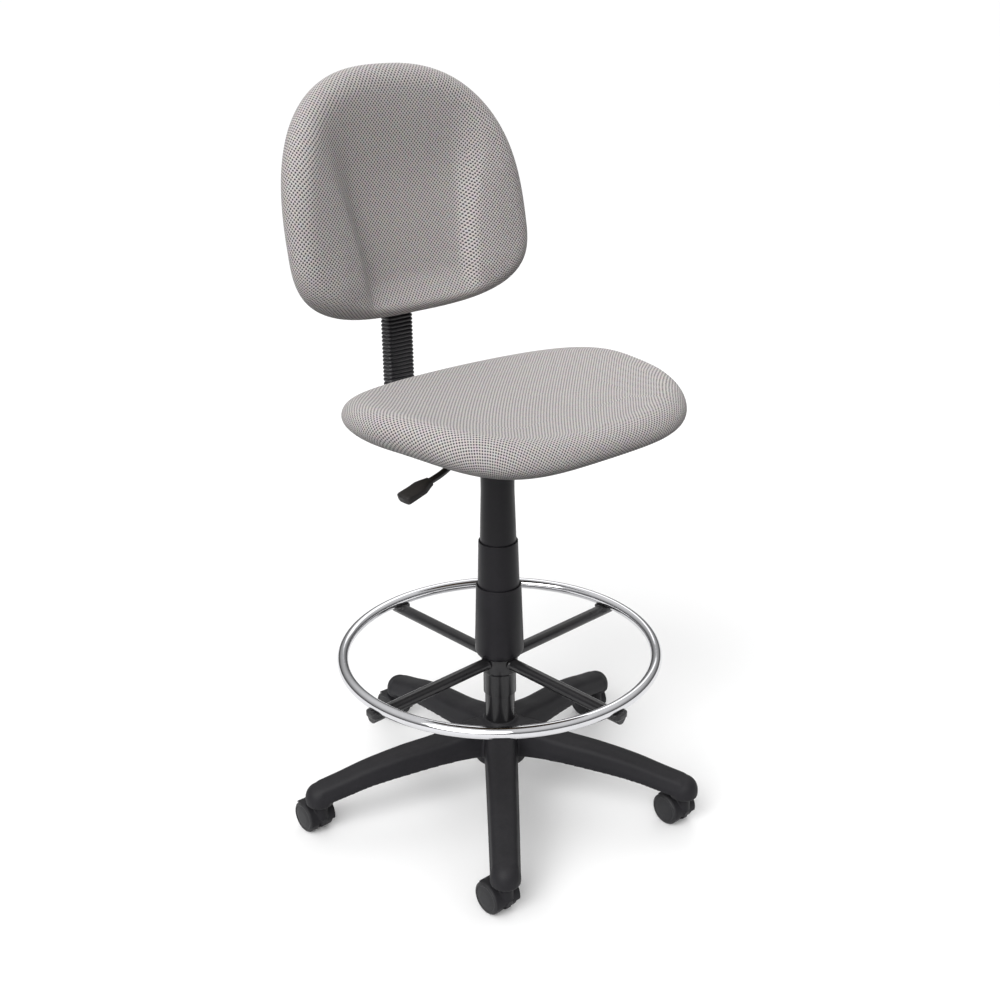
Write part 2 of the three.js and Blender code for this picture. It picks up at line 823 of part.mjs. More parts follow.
/** Pressed-steel plate with the gas-tube socket, the lever's cheeks and the J-bar channel. */
function seatMechanism() {
  const m = mechanism;
  const halfWidth = m.plateWidth / 2;
  const plateMiddle = (m.plateBack + m.plateFront) / 2;
  const outline = roundedRectangle(m.plateWidth, m.plateBack - m.plateFront, m.plateCorner, 0, plateMiddle);
  const plate = raised(outline, m.plateBottom, plateTop);
  const socketCorner = [m.socketHalfX, m.socketHalfY, gas.tubeTop];
  const socket = block([-m.socketHalfX, -m.socketHalfY, m.socketBottom], socketCorner);
  const cheeks = [-1, 1].map((side) => {
    const outer = side * m.socketHalfY;
    const inner = side * (m.socketHalfY - m.cheekThickness);
    return block(
      [-m.socketHalfX, Math.min(outer, inner), m.socketBottom],
      [m.socketHalfX, Math.max(outer, inner), plateTop],
    );
  });
  const channelHalf = jBar.width / 2 + runningGap + m.channelWall;
  const channel = block(
    [-channelHalf, m.channelFront, m.channelBottom],
    [channelHalf, m.channelBack, channelTop],
  );
  const hangers = [-1, 1].map((side) => {
    const outer = side * channelHalf;
    const inner = side * (channelHalf - m.channelWall);
    return block(
      [Math.min(outer, inner), m.socketHalfY - 1, m.channelBottom],
      [Math.max(outer, inner), m.channelBack, plateTop],
    );
  });
  const barRoom = block(
    [-jBar.width / 2 - runningGap, m.channelFront - 5, barBottom - runningGap],
    [jBar.width / 2 + runningGap, m.channelBack + 5, barTop + runningGap],
  );
  const tubeHole = rod(gas.tubeRadius + gap, m.socketBottom - 1, gas.tubeTop + 1, 24);
  const pinHole = rod(lever.pinRadius + threadGap, -halfWidth, halfWidth, 16);
  pinHole.rotateX(90 * degrees).translate(lever.pivotX, 0, leverHeight);
  const knobHole = rod(knobScrewRadius + threadGap, m.channelBottom - 1, barBottom, 16);
  knobHole.translate(0, depthKnobY, 0);
  const screwHoles = screwPlaces.map(([x, y]) =>
    rod(seat.screwRadius + threadGap, m.plateBottom - 1, plateTop + 1, 12).translate(x, y, 0),
  );
  const whole = join(plate, socket, channel, ...cheeks, ...hangers);
  return cut(whole, barRoom, tubeHole, pinHole, knobHole, ...screwHoles);
}

/** The bent height lever: rod from over the button, past its pivot pin, out to the grip. */
function leverRod() {
  const leverMiddle = (lever.pivotX + lever.elbowX) / 2;
  const centreline = new THREE.CatmullRomCurve3([
    new THREE.Vector3(lever.innerEnd, 0, leverHeight),
    new THREE.Vector3(lever.pivotX, 0, leverHeight),
    new THREE.Vector3(leverMiddle, lever.offsetY / 2, leverHeight - lever.elbowDrop / 3),
    new THREE.Vector3(lever.elbowX, lever.offsetY, leverHeight - lever.elbowDrop),
    new THREE.Vector3(lever.gripX, lever.offsetY, leverHeight - lever.gripDrop),
  ]);
  const section = new THREE.Shape().absarc(0, 0, lever.rodRadius, 0, 2 * Math.PI);
  const bar = new THREE.ExtrudeGeometry(section, { steps: 14, curveSegments: 5, extrudePath: centreline });
  const pinHalf = mechanism.socketHalfY;
  const pin = rod(lever.pinRadius, -pinHalf, pinHalf, 16).rotateX(90 * degrees);
  return join(bar, pin.translate(lever.pivotX, 0, leverHeight));
}

/** The flat grip on the lever's outer end. */
function leverPaddle() {
  const length = Math.hypot(lever.gripX - lever.tipX, lever.tipDrop - lever.gripDrop);
  const slope = Math.atan2(lever.tipDrop - lever.gripDrop, lever.gripX - lever.tipX);
  const outline = new THREE.Shape();
  const half = lever.paddleWidth / 2;
  const neck = half * lever.paddleNeck;
  const corner = lever.paddleCorner;
  outline.moveTo(0, -neck);
  outline.lineTo(0, neck);
  outline.lineTo(-length / 3, half);
  outline.lineTo(-length + corner, half);
  outline.quadraticCurveTo(-length, half, -length, half - corner);
  outline.lineTo(-length, -half + corner);
  outline.quadraticCurveTo(-length, -half, -length + corner, -half);
  outline.lineTo(-length / 3, -half);
  outline.closePath();
  const round = lever.paddleRounding;
  const grip = new THREE.ExtrudeGeometry(outline, {
    depth: lever.paddleThickness - 2 * round,
    curveSegments: 4,
    bevelThickness: round,
    bevelSize: round,
    bevelOffset: -round,
    bevelSegments: 2,
  });
  grip.translate(-gap, 0, round - lever.paddleThickness / 2).rotateY(-slope);
  return grip.translate(lever.gripX, lever.offsetY, leverHeight - lever.gripDrop);
}

piece("seat_mechanism", seatMechanism(), blackSteel);
piece("lever_rod", leverRod(), blackSteel);
piece("lever_paddle", leverPaddle(), nylon);

// ---- J-bar and boot ---------------------------------------------------------------------------

/** Centreline of the bent bar from a point under the seat to a length up its leaning stretch. */
function barCentreline(startY, leanLength) {
  const z = (barBottom + barTop) / 2;
  const { lowerBend, upperBend, uprightY, lean, leanStart } = jBar;
  const path = new THREE.CurvePath();
  const point = (y, height) => new THREE.Vector3(0, y, height);
  const sweep = upperBend * Math.tan((lean / 2) * degrees);
  const leanEnd = (reach) =>
    point(uprightY + reach * Math.sin(lean * degrees), leanStart + reach * Math.cos(lean * degrees));
  path.add(new THREE.LineCurve3(point(startY, z), point(uprightY - lowerBend, z)));
  path.add(
    new THREE.CubicBezierCurve3(
      point(uprightY - lowerBend, z),
      point(uprightY - 0.448 * lowerBend, z),
      point(uprightY, z + 0.448 * lowerBend),
      point(uprightY, z + lowerBend),
    ),
  );
  path.add(new THREE.LineCurve3(point(uprightY, z + lowerBend), point(uprightY, leanStart - sweep)));
  path.add(new THREE.QuadraticBezierCurve3(point(uprightY, leanStart - sweep), leanEnd(0), leanEnd(sweep)));
  path.add(new THREE.LineCurve3(leanEnd(sweep), leanEnd(leanLength)));
  return path;
}

function jBarSolid() {
  const path = barCentreline(jBar.frontEnd, jBar.length);
  return new THREE.ExtrudeGeometry(rectangle(jBar.thickness, jBar.width), { steps: 48, extrudePath: path });
}

const bootWidth = jBar.width + jBar.bootSides;
const bootDepth = jBar.thickness + jBar.bootFaces;

function barBoot() {
  const section = roundedRectangle(bootDepth, bootWidth, jBar.bootCorner);
  const barRoom = jBar.thickness + 2 * runningGap;
  section.holes.push(rectangle(barRoom, jBar.width + 2 * runningGap));
  const path = barCentreline(jBar.bootFront, jBar.bootTop);
  return new THREE.ExtrudeGeometry(section, { steps: 30, curveSegments: 1, extrudePath: path });
}

piece("j_bar", jBarSolid(), blackSteel);
piece("bar_boot", barBoot(), rubber);
const depthKnobReach = barBottom - runningGap - mechanism.channelBottom + mechanism.knobStandOff;
const depthKnob = clampKnob(knobScrewRadius, depthKnobReach, back.knobRadius, back.knobLength);
const depthKnobMesh = piece("depth_knob", depthKnob, nylon);
depthKnobMesh.rotation.x = 180 * degrees;
depthKnobMesh.position.set(0, depthKnobY, barBottom - runningGap);

// ---- Seat -------------------------------------------------------------------------------------

/** Spreads a point of the unit disc over a squared-off ellipse. */
function spread(point, halfX, halfY, squareness) {
  const reach = Math.hypot(point.x, point.y);
  if (reach === 0) return;
  const x = Math.abs(point.x) / halfX;
  const y = Math.abs(point.y) / halfY;
  const stretch = reach * (x ** squareness + y ** squareness) ** (-1 / squareness);
  point.x *= stretch;
  point.y *= stretch;
}

/** A cushion blank: a round pebble of unit radius, with a round edge of its own fraction of it. */
function pebble(edge, bottom, top, facets = 36) {
  const middle = (bottom + top) / 2;
  const half = (top - bottom) / 2;
  const rim = [-60, -30, 0, 30, 60, 90].map((turn) => [
    1 - edge * (1 - Math.cos(turn * degrees)),
    middle + half * Math.sin(turn * degrees),
  ]);
  const inside = [0.66, 0.4].map((share) => [share * (1 - edge), top]);
  return turned([[0, bottom], [1 - edge, bottom], ...rim, ...inside, [0, top]], facets);
}

function seatCushion() {
  const halfX = seat.width / 2;
  const halfY = seat.depth / 2;
  const bottom = seat.top - seat.thickness;
  const blank = pebble((2 * seat.edge) / (halfX + halfY), bottom, seat.top);
  reshape(blank, (point) => {
    const centre = 1 - point.x ** 2 - point.y ** 2;
    spread(point, halfX, halfY, point.y < 0 ? seat.frontSquareness : seat.rearSquareness);
    const forward = Math.max(0, -point.y / halfY);
    const rearward = Math.max(0, point.y / halfY);
    const sideways = Math.abs(point.x / halfX);
    const upper = (point.z - bottom) / seat.thickness;
    point.x *= 1 - (seat.taper * point.y) / halfY;
    point.z -= seat.frontDrop * forward ** 2;
    point.z += upper * (seat.bolster * sideways ** 3 - seat.rearFall * rearward ** 2 - seat.dish * centre);
    point.y -= seat.forward;
  });
  return cut(blank, seatBoard(gap));
}

/** The board that carries the cushion, or the room that it takes up when grown by a clearance. */
function seatBoard(growth) {
  const width = seat.width - 2 * (seat.boardMargin - growth);
  const depth = seat.depth - 2 * (seat.boardEndMargin - growth);
  const outline = roundedRectangle(width, depth, seat.boardCorner, 0, -seat.forward);
  const bottom = growth ? mechanism.plateBottom - seat.thickness : plateTop + gap;
  return raised(outline, bottom, plateTop + gap + seat.boardThickness + growth);
}

function seatScrew() {
  const headTop = mechanism.plateBottom - gap;
  return turned(
    [
      [0, headTop - seat.screwHeadHeight],
      [seat.screwHeadRadius - 1, headTop - seat.screwHeadHeight],
      [seat.screwHeadRadius, headTop - 1],
      [seat.screwHeadRadius, headTop],
      [seat.screwRadius, headTop],
      [seat.screwRadius, headTop + seat.screwLength],
      [0, headTop + seat.screwLength],
    ],
    8,
  );
}

const boardHoles = screwPlaces.map(([x, y]) => {
  const end = mechanism.plateBottom + seat.screwLength + gap;
  return rod(seat.screwRadius + threadGap, plateTop, end, 12).translate(x, y, 0);
});
piece("seat_board", cut(seatBoard(0), ...boardHoles), board);
piece("seat_cushion", seatCushion(), tweed);
screwPlaces.forEach(([x, y], i) => piece(`seat_screw_${i + 1}`, seatScrew().translate(x, y, 0), zincSteel));

// ---- Back -------------------------------------------------------------------------------------

// The back is built flat: X across, Y up the back, Z out of its front. The group then stands it up.
const backGroup = new THREE.Group();
backGroup.position.set(0, back.behind, back.centreHeight);
backGroup.rotation.x = (90 - back.recline) * degrees;
chair.add(backGroup);

const recess = -back.rear + back.shellDepth; // face that the board lies against
const boardFront = recess + back.boardThickness;
const reclineSine = Math.sin(back.recline * degrees);
const reclineCosine = Math.cos(back.recline * degrees);
const bendY = jBar.uprightY - back.behind;
const bendZ = jBar.leanStart - back.centreHeight;
const barDepth = bendZ * reclineSine - bendY * reclineCosine; // the bar's middle, behind mid-thickness
const barLow = bendY * reclineSine + bendZ * reclineCosine; // where its leaning stretch starts
const housingFront = barDepth + bootDepth / 2 + back.bootGap;
const housingBack = barDepth - bootDepth / 2 - back.bootGap;
const housingHalf = bootWidth / 2 + back.bootGap;
const guideLow = barLow + jBar.bootTop + back.travel + back.bootGap;
const guideHigh = guideLow + back.guideHeight;
const knobLevel = (guideLow + guideHigh) / 2;

/** A slab of the back's outline, pulled in by an inset, between two depths. */
function backBlank(inset, rear, front, edge) {
  const meanRadius = (2 * back.halfWidth + back.above + back.below) / 4;
  return reshape(pebble(edge / meanRadius, rear, front), (point) => {
    const upper = point.y > 0;
    const halfY = (upper ? back.above : back.below) - inset;
    spread(point, back.halfWidth - inset, halfY, upper ? back.topSquareness : back.bottomSquareness);
    point.z += back.wrap * (point.x / back.halfWidth) ** 2;
  });
}

/** The board inside the back, or the room that it takes up when grown by a clearance. */
function backBoard(growth) {
  const width = 2 * (back.halfWidth - back.boardMargin + growth);
  const height = back.boardHigh - back.boardLow + 2 * growth;
  const middle = (back.boardHigh + back.boardLow) / 2;
  const outline = roundedRectangle(width, height, back.boardCorner, 0, middle);
  const rear = growth ? -back.rear - back.shellDepth : recess;
  return raised(outline, rear, boardFront + growth);
}

/** Steel bracket behind the board: a housing for the boot and a guide for the bar. */
function backBracket() {
  const wall = back.housingWall;
  const plateRear = recess - gap - wall;
  const plateCorner = [back.flangeHalfWidth, guideHigh, recess - gap];
  const plate = block([-back.flangeHalfWidth, back.housingLow, plateRear], plateCorner);
  const outerHalf = housingHalf + wall;
  const bodyCorner = [outerHalf, guideHigh, plateRear + 1];
  const body = block([-outerHalf, back.housingLow, housingBack - wall], bodyCorner);
  const bootCorner = [housingHalf, guideLow, housingFront];
  const bootRoom = block([-housingHalf, back.housingLow - 1, housingBack], bootCorner);
  const barHalf = jBar.width / 2 + runningGap;
  const barHalfDepth = jBar.thickness / 2 + runningGap;
  const barRoom = block(
    [-barHalf, guideLow - 1, barDepth - barHalfDepth],
    [barHalf, guideHigh + 1, barDepth + barHalfDepth],
  );
  const knobHole = rod(back.knobScrewRadius + threadGap, housingBack - wall - 1, barDepth, 16);
  knobHole.translate(0, knobLevel, 0);
  return cut(join(plate, body), bootRoom, barRoom, knobHole);
}

/** Thin rear shell with a hump over the bracket, open below where the boot goes in. */
function backShell() {
  const wall = back.shellWall;
  const face = -back.rear - gap;
  const rear = face - back.shellDepth;
  const humpRear = -back.rear - back.humpDepth;
  const hump = (inset, below, front) => {
    const width = bootWidth + 2 * (back.humpRoom - inset);
    const low = back.humpLow - below;
    const high = back.humpHigh - inset;
    const outline = roundedRectangle(width, high - low, back.humpCorner, 0, (high + low) / 2);
    return raised(outline, humpRear + inset, front);
  };
  const whole = join(backBlank(back.shellInset, rear, face, back.shellDepth), hump(0, 0, face - 1));
  const inside = backBlank(back.shellInset + wall, rear + wall, face + 1, wall);
  const knobHole = rod(back.knobScrewRadius + 3 * threadGap, humpRear - 1, humpRear + 2 * wall, 16);
  return cut(whole, inside, hump(wall, 4 * wall, face + 1), knobHole.translate(0, knobLevel, 0));
}

piece("back_bracket", backBracket(), blackSteel, backGroup);
piece("back_board", backBoard(0), board, backGroup);
const backPad = backBlank(0, -back.rear, back.front, back.edge);
piece("back_cushion", cut(backPad, backBoard(gap)), tweed, backGroup);
piece("back_shell", backShell(), coverPlastic, backGroup);
const barRearFace = barDepth - jBar.thickness / 2 - runningGap;
const heightKnobReach = barRearFace + back.rear + back.humpDepth + back.knobStandOff;
const heightKnob = clampKnob(back.knobScrewRadius, heightKnobReach, back.knobRadius, back.knobLength);
const heightKnobMesh = piece("height_knob", heightKnob, nylon, backGroup);
heightKnobMesh.rotation.x = 180 * degrees;
heightKnobMesh.position.set(0, knobLevel, barRearFace);

// ---- Footprint --------------------------------------------------------------------------------

// The origin is under the middle of the finished chair's box, to the nearest millimetre.
chair.updateMatrixWorld(true);
const footprint = new THREE.Box3().setFromObject(chair, true).getCenter(new THREE.Vector3());
chair.position.set(-Math.round(footprint.x), -Math.round(footprint.y), 0);

export default chair;
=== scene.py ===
"""A drafting chair with a tweed seat and back, on a gas lift with a foot ring and a five-star base.

Lengths are metres, the floor is z = 0, the sitter faces -Y, and every place comes from the frame.
"""

import json
import math

import bmesh
import bpy
import numpy as np
from mathutils import Matrix, Vector


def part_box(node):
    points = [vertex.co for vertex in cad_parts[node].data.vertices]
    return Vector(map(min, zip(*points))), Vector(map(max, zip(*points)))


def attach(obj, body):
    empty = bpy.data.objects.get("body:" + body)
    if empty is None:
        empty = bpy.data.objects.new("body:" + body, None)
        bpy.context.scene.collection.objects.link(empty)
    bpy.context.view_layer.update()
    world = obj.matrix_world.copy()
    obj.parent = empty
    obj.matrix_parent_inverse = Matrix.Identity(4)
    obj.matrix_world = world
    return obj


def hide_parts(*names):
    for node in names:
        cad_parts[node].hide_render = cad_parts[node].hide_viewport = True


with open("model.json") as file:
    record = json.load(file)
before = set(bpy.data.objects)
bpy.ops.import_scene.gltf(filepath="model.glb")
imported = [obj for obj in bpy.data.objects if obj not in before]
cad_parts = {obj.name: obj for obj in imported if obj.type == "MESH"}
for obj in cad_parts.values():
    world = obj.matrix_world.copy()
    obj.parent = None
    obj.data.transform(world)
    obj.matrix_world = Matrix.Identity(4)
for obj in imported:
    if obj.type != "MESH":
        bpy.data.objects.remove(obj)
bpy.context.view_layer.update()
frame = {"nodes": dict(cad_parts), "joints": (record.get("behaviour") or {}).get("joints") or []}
mm = 0.001

# ---- Camera -----------------------------------------------------------------------------------
# The camera stands to the front right of the sitter, a little above the back, and looks down at
# the gas column. Its place is measured from the column's axis.

column_low, column_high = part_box("column_tube")
axis = Vector(((column_low.x + column_high.x) / 2, (column_low.y + column_high.y) / 2, 0))

camera = bpy.data.objects.new("camera", bpy.data.cameras.new("camera"))
camera.data.lens = 47.709
camera.data.sensor_width = 36
camera_heading = Matrix.Rotation(math.radians(-40.327), 4, "Z")
camera_pitch = Matrix.Rotation(math.radians(90 - 21.885), 4, "X")
camera_roll = Matrix.Rotation(math.radians(-0.634), 4, "Z")
camera_place = Matrix.Translation(axis + Vector((-1.1845, -1.4007, 1.2552)))
camera.matrix_world = camera_place @ camera_heading @ camera_pitch @ camera_roll
bpy.context.scene.collection.objects.link(camera)
bpy.context.scene.camera = camera

# ---- Studio -----------------------------------------------------------------------------------
# A wide white floor under a bright ceiling that falls off to darker walls, a broad soft sun over the
# camera's left shoulder, and two weak area lights for the highlights. The floor throws no light up.


def put(tree, kind, inputs=None, **settings):
    """Adds a node, changes its settings, and gives each named input a value or a link."""
    node = tree.nodes.new("ShaderNode" + kind)
    for name, value in settings.items():
        setattr(node, name, value)
    for name, value in (inputs or {}).items():
        if isinstance(value, bpy.types.NodeSocket):
            tree.links.new(value, node.inputs[name])
        else:
            node.inputs[name].default_value = value
    return node


def new_material(name, colour, roughness, **even_values):
    """A material whose even values stand on its own shader."""
    made = bpy.data.materials.new(name)
    made.use_nodes = True
    shader = made.node_tree.nodes["Principled BSDF"]
    shader.inputs["Base Color"].default_value = (*colour, 1)
    shader.inputs["Roughness"].default_value = roughness
    for socket, value in even_values.items():
        shader.inputs[socket.replace("_", " ")].default_value = value
    return made, made.node_tree, shader


def noise(tree, place, scale, detail, roughness=0.5):
    """Cloudy noise over a place, as one value."""
    inputs = {"Vector": place, "Scale": scale, "Detail": detail, "Roughness": roughness}
    return put(tree, "TexNoise", inputs).outputs["Fac"]


def blend(tree, share, first, second):
    """A colour between two others."""
    inputs = {"Factor": share, "A": first, "B": second}
    return put(tree, "Mix", inputs, data_type="RGBA").outputs["Result"]


def join(tree, node, **values):
    """Links values to a node's inputs by name."""
    for name, value in values.items():
        tree.links.new(value, node.inputs[name.replace("_", " ")])


floor_paint, floor_tree, floor_shader = new_material("pale_floor", (0.9, 0.9, 0.9), 0.85)
floor_place = put(floor_tree, "TexCoord").outputs["Object"]
floor_mottle = noise(floor_tree, floor_place, 3, 4)
floor_tone = blend(floor_tree, floor_mottle, (0.94, 0.94, 0.94, 1), (0.97, 0.97, 0.97, 1))
join(floor_tree, floor_shader, Base_Color=floor_tone)

floor_mesh = bpy.data.meshes.new("floor")
floor_reach = 300
floor_corners = [(-floor_reach, -floor_reach, 0), (floor_reach, -floor_reach, 0)]
floor_corners += [(floor_reach, floor_reach, 0), (-floor_reach, floor_reach, 0)]
floor_mesh.from_pydata(floor_corners, [], [(0, 1, 2, 3)])
floor_mesh.materials.append(floor_paint)
floor = bpy.data.objects.new("floor", floor_mesh)
bpy.context.scene.collection.objects.link(floor)
floor.visible_diffuse = False


def soft_light(name, sideways, towards_camera, height, size, power):
    """A square area light placed in the camera's directions from the column, aimed at the seat."""
    right = camera_heading @ Vector((1, 0, 0))
    near = camera_heading @ Vector((0, -1, 0))
    lamp = bpy.data.lights.new(name, "AREA")
    lamp.shape = "SQUARE"
    lamp.size = size
    lamp.energy = power
    holder = bpy.data.objects.new(name, lamp)
    bpy.context.scene.collection.objects.link(holder)
    holder.location = axis + right * sideways + near * towards_camera + Vector((0, 0, height))
    aim = axis + Vector((0, 0, 0.6)) - holder.location
    holder.rotation_euler = aim.to_track_quat("-Z", "Y").to_euler()


soft_light("key_light", sideways=-1.3, towards_camera=1.6, height=2.7, size=1.6, power=14)
soft_light("rear_light", sideways=0.4, towards_camera=-2.2, height=2.4, size=1.6, power=9)

broad_sun = bpy.data.lights.new("broad_sun", "SUN")
broad_sun.energy = 2.5
broad_sun.angle = math.radians(50)
sun_holder = bpy.data.objects.new("broad_sun", broad_sun)
bpy.context.scene.collection.objects.link(sun_holder)
sun_way = camera_heading @ Vector((0.5, 1.25, -0.9))
sun_holder.rotation_euler = sun_way.to_track_quat("-Z", "Y").to_euler()

room = bpy.data.worlds.new("white_room")
room.use_nodes = True
room_tree = room.node_tree
room_way = put(room_tree, "TexCoord").outputs["Generated"]
room_height = put(room_tree, "SeparateXYZ", {"Vector": room_way}).outputs["Z"]
room_limits = {"Value": room_height, "From Min": 0.08, "From Max": 0.8, "To Min": 0.1, "To Max": 0.84}
room_light = put(room_tree, "MapRange", room_limits, interpolation_type="SMOOTHSTEP").outputs[0]
room_tree.links.new(room_light, room_tree.nodes["Background"].inputs["Strength"])
room_tree.nodes["Background"].inputs["Color"].default_value = (1, 1, 1, 1)
bpy.context.scene.world = room
bpy.context.scene.view_settings.view_transform = "Standard"

# ---- Five-star base ---------------------------------------------------------------------------
# One glass-filled nylon moulding: a hub pressed on the column, five arched legs open and ribbed
# underneath, and a round housing at each leg's end. Its face is matt and finely grained.


def new_group(name, inputs, outputs):
    """An empty node group with named sockets, its tree, its inputs and its output node."""
    tree = bpy.data.node_groups.new(name, "ShaderNodeTree")
    for label, kind, value in inputs:
        socket = tree.interface.new_socket(label, in_out="INPUT", socket_type="NodeSocket" + kind)
        if value is not None:
            socket.default_value = value
    for label, kind in outputs:
        tree.interface.new_socket(label, in_out="OUTPUT", socket_type="NodeSocket" + kind)
    return tree, tree.nodes.new("NodeGroupInput"), tree.nodes.new("NodeGroupOutput")


def times(tree, first, second):
    """Two values multiplied, and held between 0 and 1."""
    return put(tree, "Math", {0: first, 1: second}, operation="MULTIPLY", use_clamp=True).outputs[0]


def moulded_grain_group():
    """The fine spark-eroded grain of a plastic moulding, with faint clouds in its tone and gloss."""
    inputs = [
        ("Colour", "Color", (0.03, 0.03, 0.03, 1)),
        ("Cloud Colour", "Color", (0.05, 0.05, 0.05, 1)),
        ("Roughness", "Float", 0.5),
        ("Roughness Spread", "Float", 0.1),
        ("Grains per Metre", "Float", 1500.0),
    ]
    outputs = [("Colour", "Color"), ("Roughness", "Float"), ("Height", "Float")]
    tree, given, result = new_group("moulded_grain", inputs, outputs)
    place = put(tree, "TexCoord").outputs["Object"]
    grain = noise(tree, place, given.outputs["Grains per Metre"], 2)
    clouds = noise(tree, place, 26, 5, 0.62)
    mixed = times(tree, grain, clouds)
    share = put(tree, "MapRange", {"Value": mixed, "From Min": 0.12, "From Max": 0.42}).outputs[0]
    tone = blend(tree, share, given.outputs["Colour"], given.outputs["Cloud Colour"])
    swing = put(tree, "Math", {0: clouds, 1: 0.5}, operation="SUBTRACT").outputs[0]
    spread = {0: swing, 1: given.outputs["Roughness Spread"], 2: given.outputs["Roughness"]}
    rough = put(tree, "Math", spread, operation="MULTIPLY_ADD", use_clamp=True).outputs[0]
    join(tree, result, Colour=tone, Roughness=rough, Height=grain)
    return tree


def covered_group(tree, given, result, cover, spread):
    """Ends a group whose second colour lies over its first one, by a spread and its Amount."""
    mask = times(tree, spread, given.outputs["Amount"])
    tone = blend(tree, mask, given.outputs["Colour"], given.outputs[cover])
    join(tree, result, Colour=tone, Mask=mask)
    return tree


def edge_wear_group():
    """Edges rubbed paler by hands and shoes, broken up so that the rubbing is uneven."""
    inputs = [
        ("Colour", "Color", (0.03, 0.03, 0.03, 1)),
        ("Worn Colour", "Color", (0.1, 0.1, 0.1, 1)),
        ("Amount", "Float", 0.5),
    ]
    tree, given, result = new_group("edge_wear", inputs, [("Colour", "Color"), ("Mask", "Float")])
    sharpness = put(tree, "NewGeometry").outputs["Pointiness"]
    edge = put(tree, "MapRange", {"Value": sharpness, "From Min": 0.52, "From Max": 0.62}).outputs[0]
    place = put(tree, "TexCoord").outputs["Object"]
    scuffs = noise(tree, place, 85, 6, 0.7)
    broken = put(tree, "MapRange", {"Value": scuffs, "From Min": 0.4, "From Max": 0.65}).outputs[0]
    return covered_group(tree, given, result, "Worn Colour", times(tree, edge, broken))


def dust_group():
    """Fine floor dust that lies on whatever faces up."""
    inputs = [
        ("Colour", "Color", (0.03, 0.03, 0.03, 1)),
        ("Dust Colour", "Color", (0.3, 0.29, 0.27, 1)),
        ("Amount", "Float", 0.1),
    ]
    tree, given, result = new_group("dust", inputs, [("Colour", "Color"), ("Mask", "Float")])
    facing = put(tree, "SeparateXYZ", {"Vector": put(tree, "NewGeometry").outputs["Normal"]})
    slope = {"Value": facing.outputs["Z"], "From Min": 0.3, "From Max": 1.0}
    upward = put(tree, "MapRange", slope).outputs[0]
    place = put(tree, "TexCoord").outputs["Object"]
    specks = noise(tree, place, 140, 8, 0.75)
    return covered_group(tree, given, result, "Dust Colour", times(tree, upward, specks))


moulded_grain = moulded_grain_group()
edge_wear = edge_wear_group()
dust = dust_group()


def use_group(tree, group, inputs):
    """Places a node group in a material with its own values."""
    node = tree.nodes.new("ShaderNodeGroup")
    node.node_tree = group
    for name, value in inputs.items():
        if isinstance(value, bpy.types.NodeSocket):
            tree.links.new(value, node.inputs[name])
        else:
            node.inputs[name].default_value = value
    return node.outputs


def grain_values(colour, cloud, roughness, spread, grains):
    """What the moulded grain is given."""
    return {
        "Colour": (*colour, 1),
        "Cloud Colour": (*cloud, 1),
        "Roughness": roughness,
        "Roughness Spread": spread,
        "Grains per Metre": grains,
    }


def raised(tree, height, strength, depth):
    """The normal of a face that a height value raises."""
    inputs = {"Height": height, "Strength": strength, "Distance": depth}
    return put(tree, "Bump", inputs).outputs["Normal"]


def worn_face(tree, shader, face, worn, wear, dusty, relief, depth):
    """Lays worn edges, dust and relief over a grained face, and gives it to the shader."""
    edges = use_group(tree, edge_wear, {"Colour": face["Colour"], "Worn Colour": worn, "Amount": wear})
    top = use_group(tree, dust, {"Colour": edges["Colour"], "Amount": dusty})
    bump = raised(tree, face["Height"], relief, depth)
    join(tree, shader, Base_Color=top["Colour"], Roughness=face["Roughness"], Normal=bump)


def moulded_plastic(name, colour, cloud, worn, roughness, grains=1500, relief=0.1, dusty=0.1):
    """A moulded plastic: grained, slightly cloudy, paler along its edges, dusty on top."""
    made, tree, shader = new_material(name, colour, roughness, Specular_IOR_Level=0.2)
    face = use_group(tree, moulded_grain, grain_values(colour, cloud, roughness, 0.22, grains))
    worn_face(tree, shader, face, (*worn, 1), 0.7, dusty, relief, 0.3 * mm)
    return made


base_nylon = moulded_plastic(
    "base_nylon",
    colour=(0.011, 0.011, 0.013),
    cloud=(0.02, 0.019, 0.022),
    worn=(0.06, 0.06, 0.06),
    roughness=0.56,
    dusty=0.04,
)


def smooth_line(points):
    """A smooth line through (distance, height) points, as a function of the distance."""
    xs = np.array([x for x, _ in points], float)
    ys = np.array([y for _, y in points], float)
    slopes = np.gradient(ys, xs)

    def height(x):
        i = int(np.clip(np.searchsorted(xs, x) - 1, 0, len(xs) - 2))
        run = xs[i + 1] - xs[i]
        t = (x - xs[i]) / run
        start = (1 + 2 * t) * (1 - t) ** 2 * ys[i] + t * (1 - t) ** 2 * run * slopes[i]
        return start + t * t * (3 - 2 * t) * ys[i + 1] + t * t * (t - 1) * run * slopes[i + 1]

    return height


def skin(rings, closed=True, looped=False):
    """A mesh through a row of rings of points, with its ends filled, or looped round to its start."""
    shell = bmesh.new()
    rows = [[shell.verts.new(point) for point in ring] for ring in rings]
    pairs = list(zip(rows, rows[1:])) + ([(rows[-1], rows[0])] if looped else [])
    for near, far in pairs:
        count = len(near)
        for i in range(count if closed else count - 1):
            j = (i + 1) % count
            shell.faces.new((near[i], near[j], far[j], far[i]))
    if closed and not looped:
        shell.faces.new(rows[0][::-1])
        shell.faces.new(rows[-1])
    bmesh.ops.remove_doubles(shell, verts=shell.verts, dist=1e-6)
    bmesh.ops.recalc_face_normals(shell, faces=shell.faces)
    return shell


def turns_of(count):
    """Even angles round a circle."""
    return [2 * math.pi * k / count for k in range(count)]


